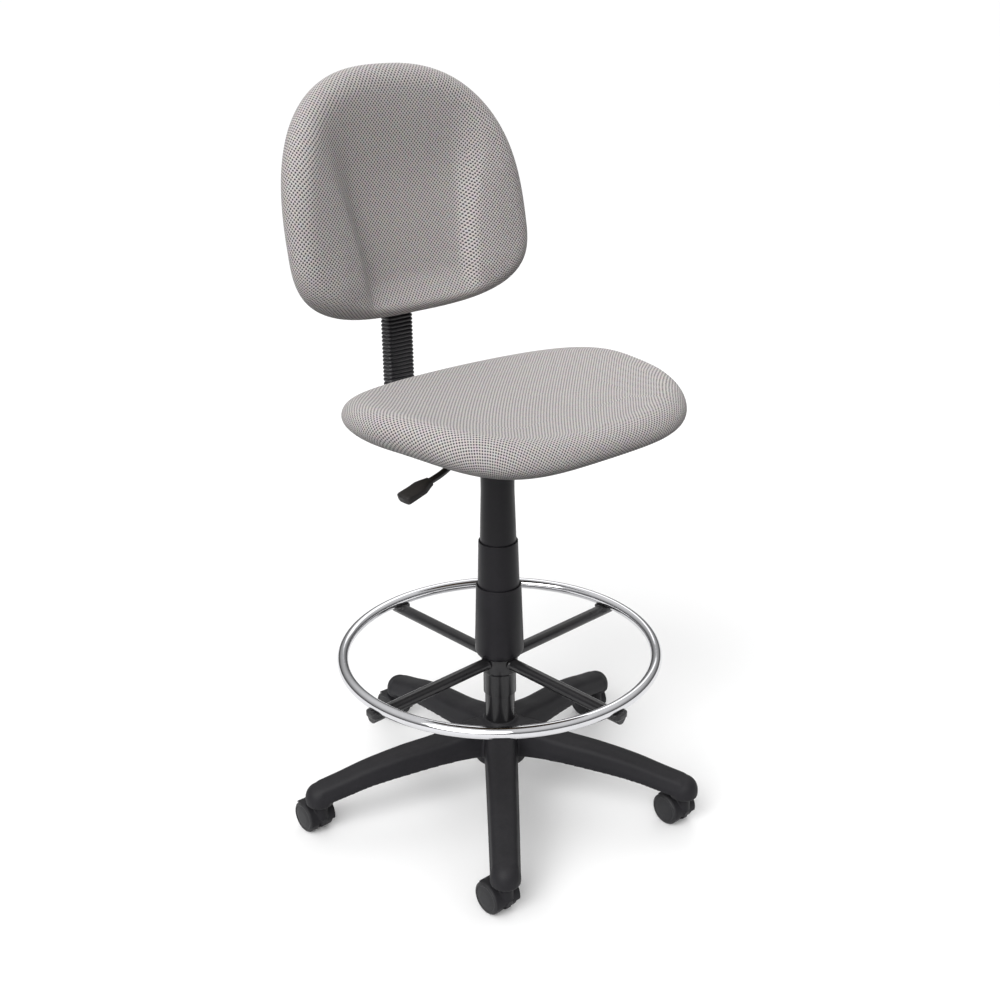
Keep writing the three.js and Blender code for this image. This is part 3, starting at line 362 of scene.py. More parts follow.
def turned(profile, facets=96):
    """A solid of revolution about Z through (radius, height) points, closed on the axis or itself."""
    rings = [[(r * math.cos(a), r * math.sin(a), z) for r, z in profile] for a in turns_of(facets)]
    shell = skin(rings, closed=profile[0][0] > 0, looped=True)
    flat = [face for face in shell.faces if face.calc_area() < 1e-12]
    bmesh.ops.delete(shell, geom=flat, context="FACES")
    bmesh.ops.recalc_face_normals(shell, faces=shell.faces)
    return shell


def round_bar(radius, bottom, top, facets=32):
    """A plain cylinder about Z."""
    return turned([(0, bottom), (radius, bottom), (radius, top), (0, top)], facets)


def shifted(shell, way):
    """The shell, moved."""
    bmesh.ops.translate(shell, verts=shell.verts, vec=way)
    return shell


def set_round_column(shells, angle):
    """Turns shells made about Z, and moves them to the column's axis."""
    turn = Matrix.Rotation(angle, 3, "Z")
    for shell in shells:
        bmesh.ops.rotate(shell, verts=shell.verts, cent=(0, 0, 0), matrix=turn)
        shifted(shell, axis)
    return shells


def eased(profile, radius, steps=4, looped=True):
    """A profile with each corner turned on a small radius."""
    points = [Vector(point) for point in profile]
    made = []
    for i, corner in enumerate(points):
        if not looped and i in (0, len(points) - 1):
            made.append(corner)
            continue
        before = points[i - 1] - corner
        after = points[(i + 1) % len(points)] - corner
        reach = min(radius, before.length * 0.45, after.length * 0.45)
        start = corner + before.normalized() * reach
        end = corner + after.normalized() * reach
        for k in range(steps + 1):
            t = k / steps
            made.append(start * (1 - t) ** 2 + corner * 2 * t * (1 - t) + end * t * t)
    return [tuple(point) for point in made]


def mesh_of(*shells):
    """One mesh that holds all the given shells."""
    whole = bmesh.new()
    for shell in shells:
        part = bpy.data.meshes.new("part")
        shell.to_mesh(part)
        shell.free()
        whole.from_mesh(part)
        bpy.data.meshes.remove(part)
    made = bpy.data.meshes.new("made")
    whole.to_mesh(made)
    whole.free()
    return made


def settle(thing):
    """Applies a piece's modifiers to its mesh."""
    graph = bpy.context.evaluated_depsgraph_get()
    made = bpy.data.meshes.new_from_object(thing.evaluated_get(graph))
    thing.modifiers.clear()
    thing.data = made


def add_piece(name, mesh, finish, sharp_angle=38):
    """Puts a mesh in the scene as a smooth-shaded piece with its finish."""
    thing = bpy.data.objects.new(name, mesh)
    thing.data.name = name
    bpy.context.scene.collection.objects.link(thing)
    mesh.materials.clear()
    mesh.materials.append(finish)
    mesh.shade_smooth()
    mesh.set_sharp_from_angle(angle=math.radians(sharp_angle))
    return thing


def stand_for(thing, body, slot, *nodes):
    """The piece rides on its body in place of its CAD nodes. Its slot argument is not used."""
    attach(thing, body)
    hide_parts(*nodes)


def fused(name, mesh, voxel, rounds, finish):
    """Overlapping shells run into one skin with soft inside corners."""
    thing = add_piece(name, mesh, finish)
    remesh = thing.modifiers.new("fuse", "REMESH")
    remesh.mode = "VOXEL"
    remesh.voxel_size = voxel
    remesh.use_smooth_shade = True
    soften = thing.modifiers.new("soften", "SMOOTH")
    soften.factor = 0.5
    soften.iterations = rounds
    settle(thing)
    return thing


def carve(thing, cutters):
    """Cuts a mesh of closed shells out of a piece."""
    knife = bpy.data.objects.new("knife", cutters)
    bpy.context.scene.collection.objects.link(knife)
    cutting = thing.modifiers.new("cut", "BOOLEAN")
    cutting.operation = "DIFFERENCE"
    cutting.solver = "MANIFOLD"
    cutting.object = knife
    bpy.context.view_layer.update()
    settle(thing)
    bpy.data.objects.remove(knife)
    thing.data.set_sharp_from_angle(angle=math.radians(38))


stems = [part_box(f"caster_{i}_stem") for i in range(1, 6)]
stem_places = [(low + high) / 2 for low, high in stems]
leg_reach = (stem_places[0].xy - axis.xy).length
leg_top_stations = [(0, 144), (59.5, 139), (98.1, 130), (163.5, 120.5)]
leg_top_stations += [(228.9, 106.5), (261.6, 96.6), (300.3, 86)]
leg_top = smooth_line([(distance * mm, height * mm) for distance, height in leg_top_stations])
leg_under_stations = [(0, 90), (59.5, 94), (163.5, 86), (228.9, 76), (261.6, 67.5), (300.3, 58)]
leg_under = smooth_line([(distance * mm, height * mm) for distance, height in leg_under_stations])
leg_root_width = 54 * mm
leg_tip_width = 44 * mm
leg_edge = 11 * mm
leg_crown = 0.6 * mm
leg_wall = 4 * mm
housing_radius = 22.4 * mm
housing_bottom = 54 * mm
housing_top = 88 * mm
hub_radius = 41 * mm
hub_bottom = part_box("five_star_base")[0].z + 22 * mm
hub_top = 143 * mm
stem_bore = 6.1 * mm
stem_bore_top = 0.083
column_bore_radius = 23.7 * mm


def leg_half(x):
    """Half a leg's width at a distance from the column."""
    return (leg_root_width + (leg_tip_width - leg_root_width) * x / leg_reach) / 2


def leg_section(x):
    """The ring of points round a leg at a distance from the column."""
    half = leg_half(x)
    top = leg_top(x)
    bottom = leg_under(x)
    points = [(half, bottom), (half, (top - leg_edge + bottom) / 2)]
    shoulder = half - leg_edge * 0.25
    for k in range(7):
        a = math.radians(90 * k / 6)
        points.append((shoulder - leg_edge * (1 - math.cos(a)), top - leg_edge * (1 - math.sin(a))))
    points.append((half / 3, top + leg_crown))
    points += [(-y, z) for y, z in reversed(points)]
    return [(x, y, z) for y, z in points]


def leg_shells(angle):
    """A leg and its housing, pointing from the column at an angle."""
    steps = 44
    leg = skin([leg_section(leg_reach * (0.05 + 0.95 * i / steps)) for i in range(steps + 1)])
    profile = [
        (0, housing_bottom),
        (housing_radius - 2 * mm, housing_bottom),
        (housing_radius, housing_bottom + 2 * mm),
        (housing_radius, housing_top - 20 * mm),
        (housing_radius - 2.5 * mm, housing_top - 12 * mm),
        (housing_radius - 7.5 * mm, housing_top - 5.5 * mm),
        (housing_radius - 14 * mm, housing_top - 1.5 * mm),
        (0, housing_top),
    ]
    housing = shifted(turned(eased(profile, 3 * mm, looped=False), 48), (leg_reach, 0, 0))
    return set_round_column([leg, housing], angle)


def cell_section(x, left, right):
    """The ring round a cell in a leg's hollow, between two lengthwise faces."""
    half = leg_half(x) - leg_wall
    left, right = max(left, -half), min(right, half)
    roof = leg_top(x) - leg_wall
    floor_of_cell = leg_under(x) - 6 * mm
    corner = 8 * mm
    across = [right + (left - right) * k / 6 for k in range(7)]
    upper = [(y, roof - corner * max(0.0, (abs(y) - half + corner) / corner) ** 2) for y in across]
    return [(x, y, z) for y, z in [(right, floor_of_cell), *upper, (left, floor_of_cell)]]


def leg_hollows(angle):
    """The cells under a leg, between its long and cross ribs, and the bore for a caster's stem."""
    start = hub_radius + leg_wall
    end = leg_reach - housing_radius - leg_wall
    cells = 4
    rib = 3 * mm
    rib_face = 6.2 * mm
    columns = [(-0.1, -rib_face - rib), (-rib_face, rib_face), (rib_face + rib, 0.1)]
    shells = []
    for cell in range(cells):
        x0 = start + (end - start) * cell / cells + (rib if cell else 0)
        x1 = start + (end - start) * (cell + 1) / cells
        places = [x0 + (x1 - x0) * k / 4 for k in range(5)]
        shells += [skin([cell_section(x, left, right) for x in places]) for left, right in columns]
    shells.append(shifted(round_bar(stem_bore, 0.05, stem_bore_top, 24), (leg_reach, 0, 0)))
    return set_round_column(shells, angle)


leg_angles = [math.atan2(place.y - axis.y, place.x - axis.x) for place in stem_places]
hub_profile = [
    (0, hub_bottom),
    (hub_radius, hub_bottom),
    (hub_radius, hub_top - 9 * mm),
    (hub_radius - 9 * mm, hub_top),
    (27 * mm, hub_top),
    (27 * mm, hub_top + 5 * mm),
    (0, hub_top + 5 * mm),
]
hub = shifted(turned(eased(hub_profile, 2 * mm, looped=False), 72), axis)
base_shells = [hub] + [shell for angle in leg_angles for shell in leg_shells(angle)]
star_base = fused("star_base", mesh_of(*base_shells), 1.7 * mm, 14, base_nylon)
column_bore = shifted(round_bar(column_bore_radius, 0.07, 0.16, 64), axis)
hollows = [column_bore] + [shell for angle in leg_angles for shell in leg_hollows(angle)]
carve(star_base, mesh_of(*hollows))
stand_for(star_base, "base", "base_nylon", "five_star_base")

# ---- Casters ----------------------------------------------------------------------------------
# Five twin-wheel casters: nylon wheels with a stepped, domed face on a steel axle, under a
# moulded hood whose boss turns on a steel stem pressed in the leg.

wheel_nylon = moulded_plastic(
    "wheel_nylon",
    colour=(0.02, 0.02, 0.022),
    cloud=(0.04, 0.04, 0.042),
    worn=(0.11, 0.11, 0.11),
    roughness=0.48,
)


def zinc_plated():
    """Bright zinc plate on steel: small crystals of tone and gloss."""
    made, tree, shader = new_material("zinc_steel", (0.55, 0.55, 0.53), 0.38, Metallic=1.0)
    place = put(tree, "TexCoord").outputs["Object"]
    crystals = put(tree, "TexVoronoi", {"Vector": place, "Scale": 420}).outputs["Color"]
    value = put(tree, "SeparateColor", {"Color": crystals}).outputs["Red"]
    tone = blend(tree, value, (0.45, 0.45, 0.44, 1), (0.62, 0.62, 0.59, 1))
    rough = put(tree, "MapRange", {"Value": value, "To Min": 0.3, "To Max": 0.48}).outputs[0]
    join(tree, shader, Base_Color=tone, Roughness=rough)
    return made


zinc_steel = zinc_plated()


def dress(finish, *nodes):
    """Gives CAD nodes that stay in the picture their finish."""
    for node in nodes:
        shown = frame["nodes"][node]
        shown.data.materials.clear()
        shown.data.materials.append(finish)


wheel_radius = 25 * mm
wheel_inner = 5.8 * mm
wheel_outer = 22 * mm
wheel_profile = [
    (0, 17.8 * mm),
    (3.4 * mm, 17.8 * mm),
    (3.4 * mm, wheel_inner),
    (wheel_radius, wheel_inner),
    (wheel_radius, wheel_outer - 3.6 * mm),
    (wheel_radius - 3.4 * mm, wheel_outer - 0.8 * mm),
    (wheel_radius - 5.4 * mm, wheel_outer - 0.8 * mm),
    (wheel_radius - 6.2 * mm, wheel_outer - 1.6 * mm),
    (wheel_radius - 8.4 * mm, wheel_outer - 1.1 * mm),
    (wheel_radius - 14 * mm, wheel_outer - 0.2 * mm),
    (0, wheel_outer),
]
wheel_mesh = mesh_of(turned(eased(wheel_profile, 1.4 * mm, looped=False), 80))
wheel_mesh.name = "caster_wheel"

hood_radius = 28 * mm
hood_skin = 2 * mm
hood_boss = 11 * mm
hood_edge = 1.2 * mm
hood_top = 53.2 * mm
web_half = 4.6 * mm


def hood_mesh_about(trail):
    """The hood and fork with the stem's axis on Z and the wheels' axle behind it."""
    inner = hood_radius - hood_skin
    rows = [(inner, wheel_outer), (hood_radius - hood_edge, wheel_outer)]
    rows += [(hood_radius, wheel_outer - hood_edge)]
    rows += [(r, -x) for r, x in reversed(rows)]

    def out_from_axle(radius, degrees):
        a = math.radians(degrees)
        return trail + radius * math.cos(a), wheel_radius + radius * math.sin(a)

    fender = skin([[(x, *out_from_axle(r, 62 + 4 * k)) for r, x in rows] for k in range(33)])
    outline = [out_from_axle(hood_boss, degrees) for degrees in range(-100, 91, 10)]
    outline += [(hood_boss, wheel_radius + inner), (-6 * mm, wheel_radius + inner)]
    outline += [(-hood_boss, hood_radius), (-6 * mm, 14 * mm), (4 * mm, 8 * mm)]
    web = skin([[(x, y, z) for y, z in outline] for x in (-web_half, web_half)])
    return mesh_of(fender, web, round_bar(hood_boss, hood_radius, hood_top, 40))


for number, place in enumerate(stem_places, start=1):
    label = f"caster_{number}"
    axle_low, axle_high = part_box(f"{label}_axle")
    axle_middle = (axle_low + axle_high) / 2
    if number == 1:
        first_hood = fused("hood_1", hood_mesh_about(axle_middle.y - place.y), 0.8 * mm, 3, base_nylon)
        hood_mesh = first_hood.data
        bpy.data.objects.remove(first_hood)
    hood = add_piece(f"hood_{number}", hood_mesh, base_nylon)
    hood.location = (place.x, place.y, 0)
    stand_for(hood, label, "base_nylon", f"{label}_hood")
    for side, sign in (("left", 1), ("right", -1)):
        wheel = add_piece(f"wheel_{number}_{side}", wheel_mesh, wheel_nylon)
        wheel.location = axle_middle
        wheel.rotation_euler = (0, sign * math.pi / 2, 0)
        stand_for(wheel, f"{label}_{side}", "wheel_nylon", f"{label}_wheel_{side}")
    dress(zinc_steel, f"{label}_stem", f"{label}_axle")

# ---- Gas lift ---------------------------------------------------------------------------------
# A drawn steel column, powder-coated glossy black, stands in the hub. A gas spring slides in the
# nylon bush at its top, and the inner parts are zinc-plated.


def gloss_black(name, colour, roughness, ripple):
    """Black powder coat on steel: slightly rippled, glossy under a clear skin, rubbed at edges."""
    clear_skin = {"Coat_Weight": 0.25, "Coat_Roughness": 0.12}
    made, tree, shader = new_material(name, colour, roughness, Specular_IOR_Level=0.3, **clear_skin)
    values = grain_values(colour, (0.016, 0.015, 0.017), roughness, 0.16, 520)
    face = use_group(tree, moulded_grain, values)
    worn_face(tree, shader, face, (0.12, 0.12, 0.12, 1), 0.5, 0.05, ripple, 0.4 * mm)
    return made


black_steel = gloss_black("black_steel", (0.006, 0.006, 0.007), 0.3, 0.03)


def lathe_piece(name, profile, ease, finish, facets=96):
    """A turned or drawn piece on the column's axis."""
    shell = turned(eased(profile, ease, looped=profile[0][0] > 0), facets)
    return add_piece(name, mesh_of(shifted(shell, axis)), finish)


column_radius = (column_high.x - column_low.x) / 2
column_wall = 2 * mm
column_foot_hole = 5.4 * mm
column_foot = column_low.z + 4 * mm
column_profile = [
    (column_foot_hole, column_low.z),
    (column_radius, column_low.z),
    (column_radius, column_high.z),
    (column_radius - column_wall, column_high.z),
    (column_radius - column_wall, column_foot),
    (column_foot_hole, column_foot),
]
steel_column = lathe_piece("steel_column", column_profile, 0.5 * mm, black_steel)
stand_for(steel_column, "base", "black_steel", "column_tube")
dress(base_nylon, "guide_bush")
dress(zinc_steel, "thrust_bearing", "retaining_clip", "piston_rod", "release_button")
dress(black_steel, "gas_tube")

# ---- Telescoping covers -----------------------------------------------------------------------
# Three satin black mouldings nest over the gas lift: a wide skirt on the column, a middle sleeve
# that follows the seat half way, and a long upper sleeve under the seat.

cover_plastic = moulded_plastic(
    "cover_plastic",
    colour=(0.008, 0.0075, 0.009),
    cloud=(0.014, 0.013, 0.016),
    worn=(0.05, 0.05, 0.05),
    roughness=0.4,
    grains=1900,
    relief=0.09,
    dusty=0.02,
)
cover_wall = 2 * mm
lower_low, lower_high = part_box("cover_lower")
middle_low, middle_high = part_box("cover_middle")
upper_low, upper_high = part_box("cover_upper")
skirt_radius = (lower_high.x - lower_low.x) / 2
skirt_foot_radius = 29.5 * mm
skirt_top_radius = 34.8 * mm
skirt_bulge = lower_low.z + 12.9 * mm
skirt_drop = 13.9 * mm
neck = column_radius + 0.4 * mm
skirt_arc = []
for turn in range(0, 91, 10):
    swing = math.radians(turn)
    swell = (skirt_radius - skirt_foot_radius) * math.sin(swing)
    skirt_arc.append((skirt_foot_radius + swell, skirt_bulge - skirt_drop * math.cos(swing)))
lower_profile = [(neck, lower_low.z)] + skirt_arc + [
    (skirt_top_radius, lower_high.z),
    (skirt_top_radius - cover_wall, lower_high.z),
    (skirt_radius - cover_wall, skirt_bulge),
    (skirt_foot_radius, lower_low.z + 2 * cover_wall),
    (neck, lower_low.z + 2 * cover_wall),
]
lower_cover = lathe_piece("lower_cover", lower_profile, 0.6 * mm, cover_plastic, 128)
stand_for(lower_cover, "base", "cover_plastic", "cover_lower")

sleeve_radius = (middle_high.x - middle_low.x) / 2
sleeve_top_radius = 30.2 * mm
sleeve_shoulder = 0.387
middle_profile = [
    (sleeve_radius - cover_wall, middle_low.z),
    (sleeve_radius, middle_low.z),
    (sleeve_radius, sleeve_shoulder),
    (sleeve_top_radius, middle_high.z),
    (sleeve_top_radius - cover_wall, middle_high.z),
    (sleeve_radius - cover_wall, sleeve_shoulder),
]
middle_sleeve = lathe_piece("middle_sleeve", middle_profile, 0.7 * mm, cover_plastic, 128)
stand_for(middle_sleeve, "middle_cover", "cover_plastic", "cover_middle")

upper_radius = (upper_high.x - upper_low.x) / 2
upper_neck_radius = 25.4 * mm
upper_hole_radius = 14.3 * mm
taper_bottom = 0.459
taper_top = 0.535
upper_profile = [
    (upper_radius - cover_wall, upper_low.z),
    (upper_radius, upper_low.z),
    (upper_radius, taper_bottom),
    (upper_neck_radius, taper_top),
    (upper_neck_radius, upper_high.z),
    (upper_hole_radius, upper_high.z),
    (upper_hole_radius, upper_high.z - cover_wall),
    (upper_neck_radius - cover_wall, upper_high.z - cover_wall),
    (upper_neck_radius - cover_wall, taper_top),
    (upper_radius - cover_wall, taper_bottom),
]
upper_sleeve = lathe_piece("upper_sleeve", upper_profile, 1.0 * mm, cover_plastic, 128)
stand_for(upper_sleeve, "seat", "cover_plastic", "cover_upper")

# ---- Foot ring --------------------------------------------------------------------------------
# A hoop of bent chromed tube rests on four black spokes welded to a sleeve, which slides on the
# column and is held there by a hand screw.


def chrome_plate():
    """Bright chrome over steel tube, smudged by shoes."""
    made, tree, shader = new_material("chrome", (0.86, 0.86, 0.88), 0.05, Metallic=1.0)
    place = put(tree, "TexCoord").outputs["Object"]
    smudges = noise(tree, place, 38, 7, 0.68)
    rough = {"Value": smudges, "From Min": 0.4, "From Max": 0.75, "To Min": 0.03, "To Max": 0.16}
    gloss = put(tree, "MapRange", rough).outputs[0]
    tone = blend(tree, smudges, (0.74, 0.74, 0.76, 1), (0.6, 0.6, 0.62, 1))
    bump = raised(tree, smudges, 0.02, 0.5 * mm)
    join(tree, shader, Base_Color=tone, Roughness=gloss, Normal=bump)
    return made


chrome = chrome_plate()
ring_low, ring_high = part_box("foot_ring")
ring_tube = (ring_high.z - ring_low.z) / 2
ring_height = (ring_high.z + ring_low.z) / 2
ring_radius = (ring_high.x - ring_low.x) / 2 - ring_tube


def hoop(tube):
    """A torus on the ring's line."""
    section = [(ring_radius + tube * math.cos(a), ring_height + tube * math.sin(a)) for a in turns_of(40)]
    return shifted(turned(section, 240), axis)


ring_hoop = add_piece("ring_hoop", mesh_of(hoop(ring_tube)), chrome)
stand_for(ring_hoop, "foot_ring", "chrome", "foot_ring")

ring_sleeve_low, ring_sleeve_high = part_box("footring_hub")
collar_radius = (ring_sleeve_high.x - ring_sleeve_low.x) / 2
ring_sleeve_radius = neck + 2 * mm
collar_bottom = 0.232
collar_step = 4 * mm
ring_sleeve_profile = [
    (neck, ring_sleeve_low.z),
    (ring_sleeve_radius, ring_sleeve_low.z),
    (ring_sleeve_radius, collar_bottom),
    (collar_radius, collar_bottom + collar_step),
    (collar_radius, ring_sleeve_high.z),
    (neck, ring_sleeve_high.z),
]
ring_sleeve = lathe_piece("ring_sleeve", ring_sleeve_profile, 0.6 * mm, black_steel)
stand_for(ring_sleeve, "foot_ring", "black_steel", "footring_hub")

spoke_radius = 9.5 * mm
spoke_height = 0.2523
saddle_length = 30 * mm
saddle_width = 26 * mm
saddle_height = 8.5 * mm
weld_start = collar_radius + 0.3 * mm


def rounded_outline(width, depth, radius, steps=8):
    """A rectangle with round corners as (across, along) points, anticlockwise."""
    centres = [(1, 1, 0), (-1, 1, 90), (-1, -1, 180), (1, -1, 270)]
    outline = []
    for side, end, start in centres:
        for k in range(steps + 1):
            a = math.radians(start + 90 * k / steps)
            x = side * (width / 2 - radius) + radius * math.cos(a)
            outline.append((x, end * (depth / 2 - radius) + radius * math.sin(a)))
    return outline


def slab(outline, heights):
    """An outline raised through (height, inset) levels, so that its rims are eased."""
    rings = []
    for height, inset in heights:
        ring = []
        for x, y in outline:
            reach = math.hypot(x, y)
            share = (reach - inset) / reach
            ring.append((x * share, y * share, height))
        rings.append(ring)
    return skin(rings)


def spoke_section(reach, half_width, half_height):
    """The ring of points round a spoke or its weld at a distance from the column."""
    ring = []
    for a in turns_of(32):
        ring.append((reach, half_width * math.cos(a), spoke_height + half_height * math.sin(a)))
    return ring


for number in range(1, 5):
    spoke_low, spoke_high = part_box(f"spoke_{number}")
    spoke_middle = (spoke_low + spoke_high) / 2
    heading = math.atan2(spoke_middle.y - axis.y, spoke_middle.x - axis.x)
    bar_reaches = (weld_start, 0.06, 0.12, 0.18, ring_radius + 12 * mm)
    bar = skin([spoke_section(reach, spoke_radius, spoke_radius) for reach in bar_reaches])
    foot = rounded_outline(saddle_length, saddle_width, 8 * mm)
    levels = [(0, 1 * mm), (1 * mm, 0), (8 * mm, 0), (saddle_height, 0.5 * mm)]
    saddle = slab(foot, [(spoke_height + level, inset) for level, inset in levels])
    shifted(saddle, (ring_radius, 0, 0))
    weld_steps = [(0.3 * mm, 12 * mm), (2 * mm, 10.8 * mm), (4 * mm, 9.4 * mm)]
    weld = skin([spoke_section(collar_radius + out, half, 9.4 * mm) for out, half in weld_steps])
    spoke_shells = set_round_column([bar, saddle, weld], heading)
    spoke = fused(f"ring_spoke_{number}", mesh_of(*spoke_shells), 0.9 * mm, 3, black_steel)
    carve(spoke, mesh_of(hoop(ring_tube + 0.3 * mm)))
    stand_for(spoke, "foot_ring", "black_steel", f"spoke_{number}")

grip_plastic = moulded_plastic(
    "grip_plastic",
    colour=(0.013, 0.012, 0.012),
    cloud=(0.024, 0.022, 0.022),
    worn=(0.1, 0.09, 0.09),
    roughness=0.5,
)
screw_radius = 4 * mm


def hand_screw(name, node, tip, direction, grip_radius, grip_length, body):
    """A lobed hand knob moulded on a screw. Its tip and direction say where it is screwed in."""
    corners = [Vector(corner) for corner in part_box(node)]
    reach = max(abs((corner - tip).dot(direction)) for corner in corners) - grip_length
    lobes = 6
    levels = [(0, 0.55), (0.02, 0.8), (0.1, 0.93), (0.25, 0.98), (0.75, 1.0), (0.92, 0.95), (0.99, 0.82)]
    levels += [(1.0, 0.7), (0.96, 0.6), (0.95, 0.0)]
    rings = []
    for share, size in levels:
        ring = []
        for a in turns_of(96):
            swell = 0.93 + 0.07 * math.cos(lobes * a) if size > 0.75 else 0.93
            r = max(grip_radius * size * swell, 1e-5)
            ring.append((r * math.cos(a), r * math.sin(a), reach + grip_length * share))
        rings.append(ring)
    grip = skin(rings)
    thread = round_bar(screw_radius, 0, reach + 2 * mm)
    knob = add_piece(name, mesh_of(grip, thread), grip_plastic)
    knob.matrix_world = Matrix.Translation(tip) @ direction.to_track_quat("Z", "Y").to_matrix().to_4x4()
    stand_for(knob, body, "grip_plastic", node)


ring_knob_low, ring_knob_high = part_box("footring_knob")
ring_knob_middle = (ring_knob_low + ring_knob_high) / 2
ring_knob_heading = (ring_knob_middle - axis - Vector((0, 0, ring_knob_middle.z))).normalized()
ring_knob_tip = axis + Vector((0, 0, ring_knob_middle.z)) + ring_knob_heading * neck
hand_screw(
    "ring_screw", "footring_knob", ring_knob_tip, ring_knob_heading, 15 * mm, 16 * mm, "footring_knob"
)

# ---- Seat mechanism ---------------------------------------------------------------------------
# A welded pressing under the seat: plate, socket for the gas lift and channel for the back bar.
# Its edges are broken by the press tool, and it is powder-coated with the column.


def pressed(name, node, finish, edge):
    """A sheet-metal or moulded shape taken from its CAD node, with its edges broken."""
    thing = add_piece(name, frame["nodes"][node].data.copy(), finish, 30)
    shape = bmesh.new()
    shape.from_mesh(thing.data)
    bmesh.ops.remove_doubles(shape, verts=shape.verts, dist=0.01 * mm)
    bmesh.ops.dissolve_limit(shape, angle_limit=math.radians(1), verts=shape.verts, edges=shape.edges)
    corners = []
    for side in shape.edges:
        if len(side.link_faces) == 2 and side.calc_face_angle(0) > math.radians(30):
            corners.append(side)
    rounding = {"segments": 2, "profile": 0.6, "affect": "EDGES", "clamp_overlap": True}
    bmesh.ops.bevel(shape, geom=corners, offset=edge, **rounding)
    shape.to_mesh(thing.data)
    shape.free()
    thing.data.shade_smooth()
    thing.data.set_sharp_from_angle(angle=math.radians(30))
    return thing


pressed_mechanism = pressed("pressed_mechanism", "seat_mechanism", black_steel, 0.5 * mm)
stand_for(pressed_mechanism, "seat", "black_steel", "seat_mechanism")
dress(zinc_steel, *[f"seat_screw_{i}" for i in range(1, 5)])

# ---- Height lever -----------------------------------------------------------------------------
# A bent black rod that rocks on a pin over the gas lift's button, with a flat moulded grip
# pushed on its outer end.


def tube_along(points, radius, facets=24):
    """A round bar through points, with flat ends."""
    rings = []
    for i, point in enumerate(points):
        ahead = (points[min(i + 1, len(points) - 1)] - points[max(i - 1, 0)]).normalized()
        across = ahead.cross(Vector((0, 0, 1))).normalized()
        over = across.cross(ahead)
        ring = []
        for a in turns_of(facets):
            ring.append(point + across * radius * math.cos(a) + over * radius * math.sin(a))
        rings.append(ring)
    return skin(rings)


def easy_curve(stations, steps=10):
    """Points on a smooth curve through its stations."""
    made = []
    for i in range(len(stations) - 1):
        before = stations[max(i - 1, 0)]
        after = stations[min(i + 2, len(stations) - 1)]
        start, end = stations[i], stations[i + 1]
        for k in range(steps):
            t = k / steps
            lead = (end - before) * 0.5
            trail = (after - start) * 0.5
            bend = start * (2 * t**3 - 3 * t * t + 1) + end * (3 * t * t - 2 * t**3)
            made.append(bend + lead * (t**3 - 2 * t * t + t) + trail * (t**3 - t * t))
    return made + [stations[-1]]


rod_low, rod_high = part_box("lever_rod")
rod_radius = 5 * mm
pivot = Vector((axis.x - 20 * mm, axis.y, rod_high.z - rod_radius))
grip_end = Vector((rod_low.x, axis.y - 20 * mm, pivot.z - 37.5 * mm))
lever_stations = [
    Vector((axis.x + 5 * mm, axis.y, pivot.z)),
    pivot,
    Vector((axis.x - 66 * mm, axis.y - 10 * mm, pivot.z - 9.3 * mm)),
    Vector((axis.x - 112 * mm, axis.y - 20 * mm, pivot.z - 28 * mm)),
    grip_end,
]
lever_bar = tube_along(easy_curve(lever_stations), rod_radius * 0.98)
lever_pin = round_bar(3 * mm, -22 * mm, 22 * mm)
lever_pin_place = Matrix.Translation(pivot) @ Matrix.Rotation(math.pi / 2, 4, "X")
bmesh.ops.transform(lever_pin, matrix=lever_pin_place, verts=lever_pin.verts)
bent_lever = add_piece("bent_lever", mesh_of(lever_bar, lever_pin), black_steel)
stand_for(bent_lever, "lever", "black_steel", "lever_rod")

paddle_run = 49 * mm
paddle_drop = 15 * mm
paddle_length = math.hypot(paddle_run, paddle_drop)
paddle_slope = math.atan2(paddle_drop, paddle_run)
paddle_half = 14 * mm
paddle_depth = 14 * mm
paddle_rings = []
for i in range(25):
    along = i / 24
    ends = math.sqrt(max(0.0, 1 - ((along - 0.9) / 0.1) ** 2)) if along > 0.9 else 1.0
    waist = 0.5 + 0.5 * min(1.0, along / 0.34) ** 1.4
    half = paddle_half * waist * (0.55 + 0.45 * ends) if along < 1 else paddle_half * 0.5
    thick = paddle_depth / 2 * (0.78 + 0.22 * min(1.0, along / 0.2)) * (0.6 + 0.4 * ends)
    ring = []
    for a in turns_of(32):
        y = half * math.copysign(abs(math.cos(a)) ** 0.5, math.cos(a))
        z = thick * math.copysign(abs(math.sin(a)) ** 0.5, math.sin(a))
        dish = 1.1 * mm * math.exp(-((along - 0.55) / 0.25) ** 2) * max(0.0, math.sin(a))
        ring.append((-along * paddle_length, y, z - dish))
    paddle_rings.append(ring)
paddle_shell = skin(paddle_rings)
paddle_place = Matrix.Translation(grip_end) @ Matrix.Rotation(-paddle_slope, 4, "Y")
bmesh.ops.transform(paddle_shell, matrix=paddle_place, verts=paddle_shell.verts)
lever_grip = add_piece("lever_grip", mesh_of(paddle_shell), grip_plastic)
stand_for(lever_grip, "lever", "grip_plastic", "lever_paddle")

# ---- Back bar and boot ------------------------------------------------------------------------
# A flat steel bar bent to a J carries the back. A ribbed black rubber boot covers its bend and
# upright and grips the bar. Its gloss is uneven, and dust lies on the ribs.


def boot_rubber_finish():
    """Soft black rubber with an uneven gloss and a little dust."""
    made, tree, shader = new_material("boot_rubber", (0.006, 0.006, 0.007), 0.34, Specular_IOR_Level=0.6)
    values = grain_values((0.006, 0.005, 0.007), (0.014, 0.013, 0.016), 0.36, 0.25, 900)
    face = use_group(tree, moulded_grain, values)
    top = use_group(tree, dust, {"Colour": face["Colour"], "Amount": 0.06})
    bump = raised(tree, face["Height"], 0.08, 0.3 * mm)
    join(tree, shader, Base_Color=top["Colour"], Roughness=face["Roughness"], Normal=bump)
    return made


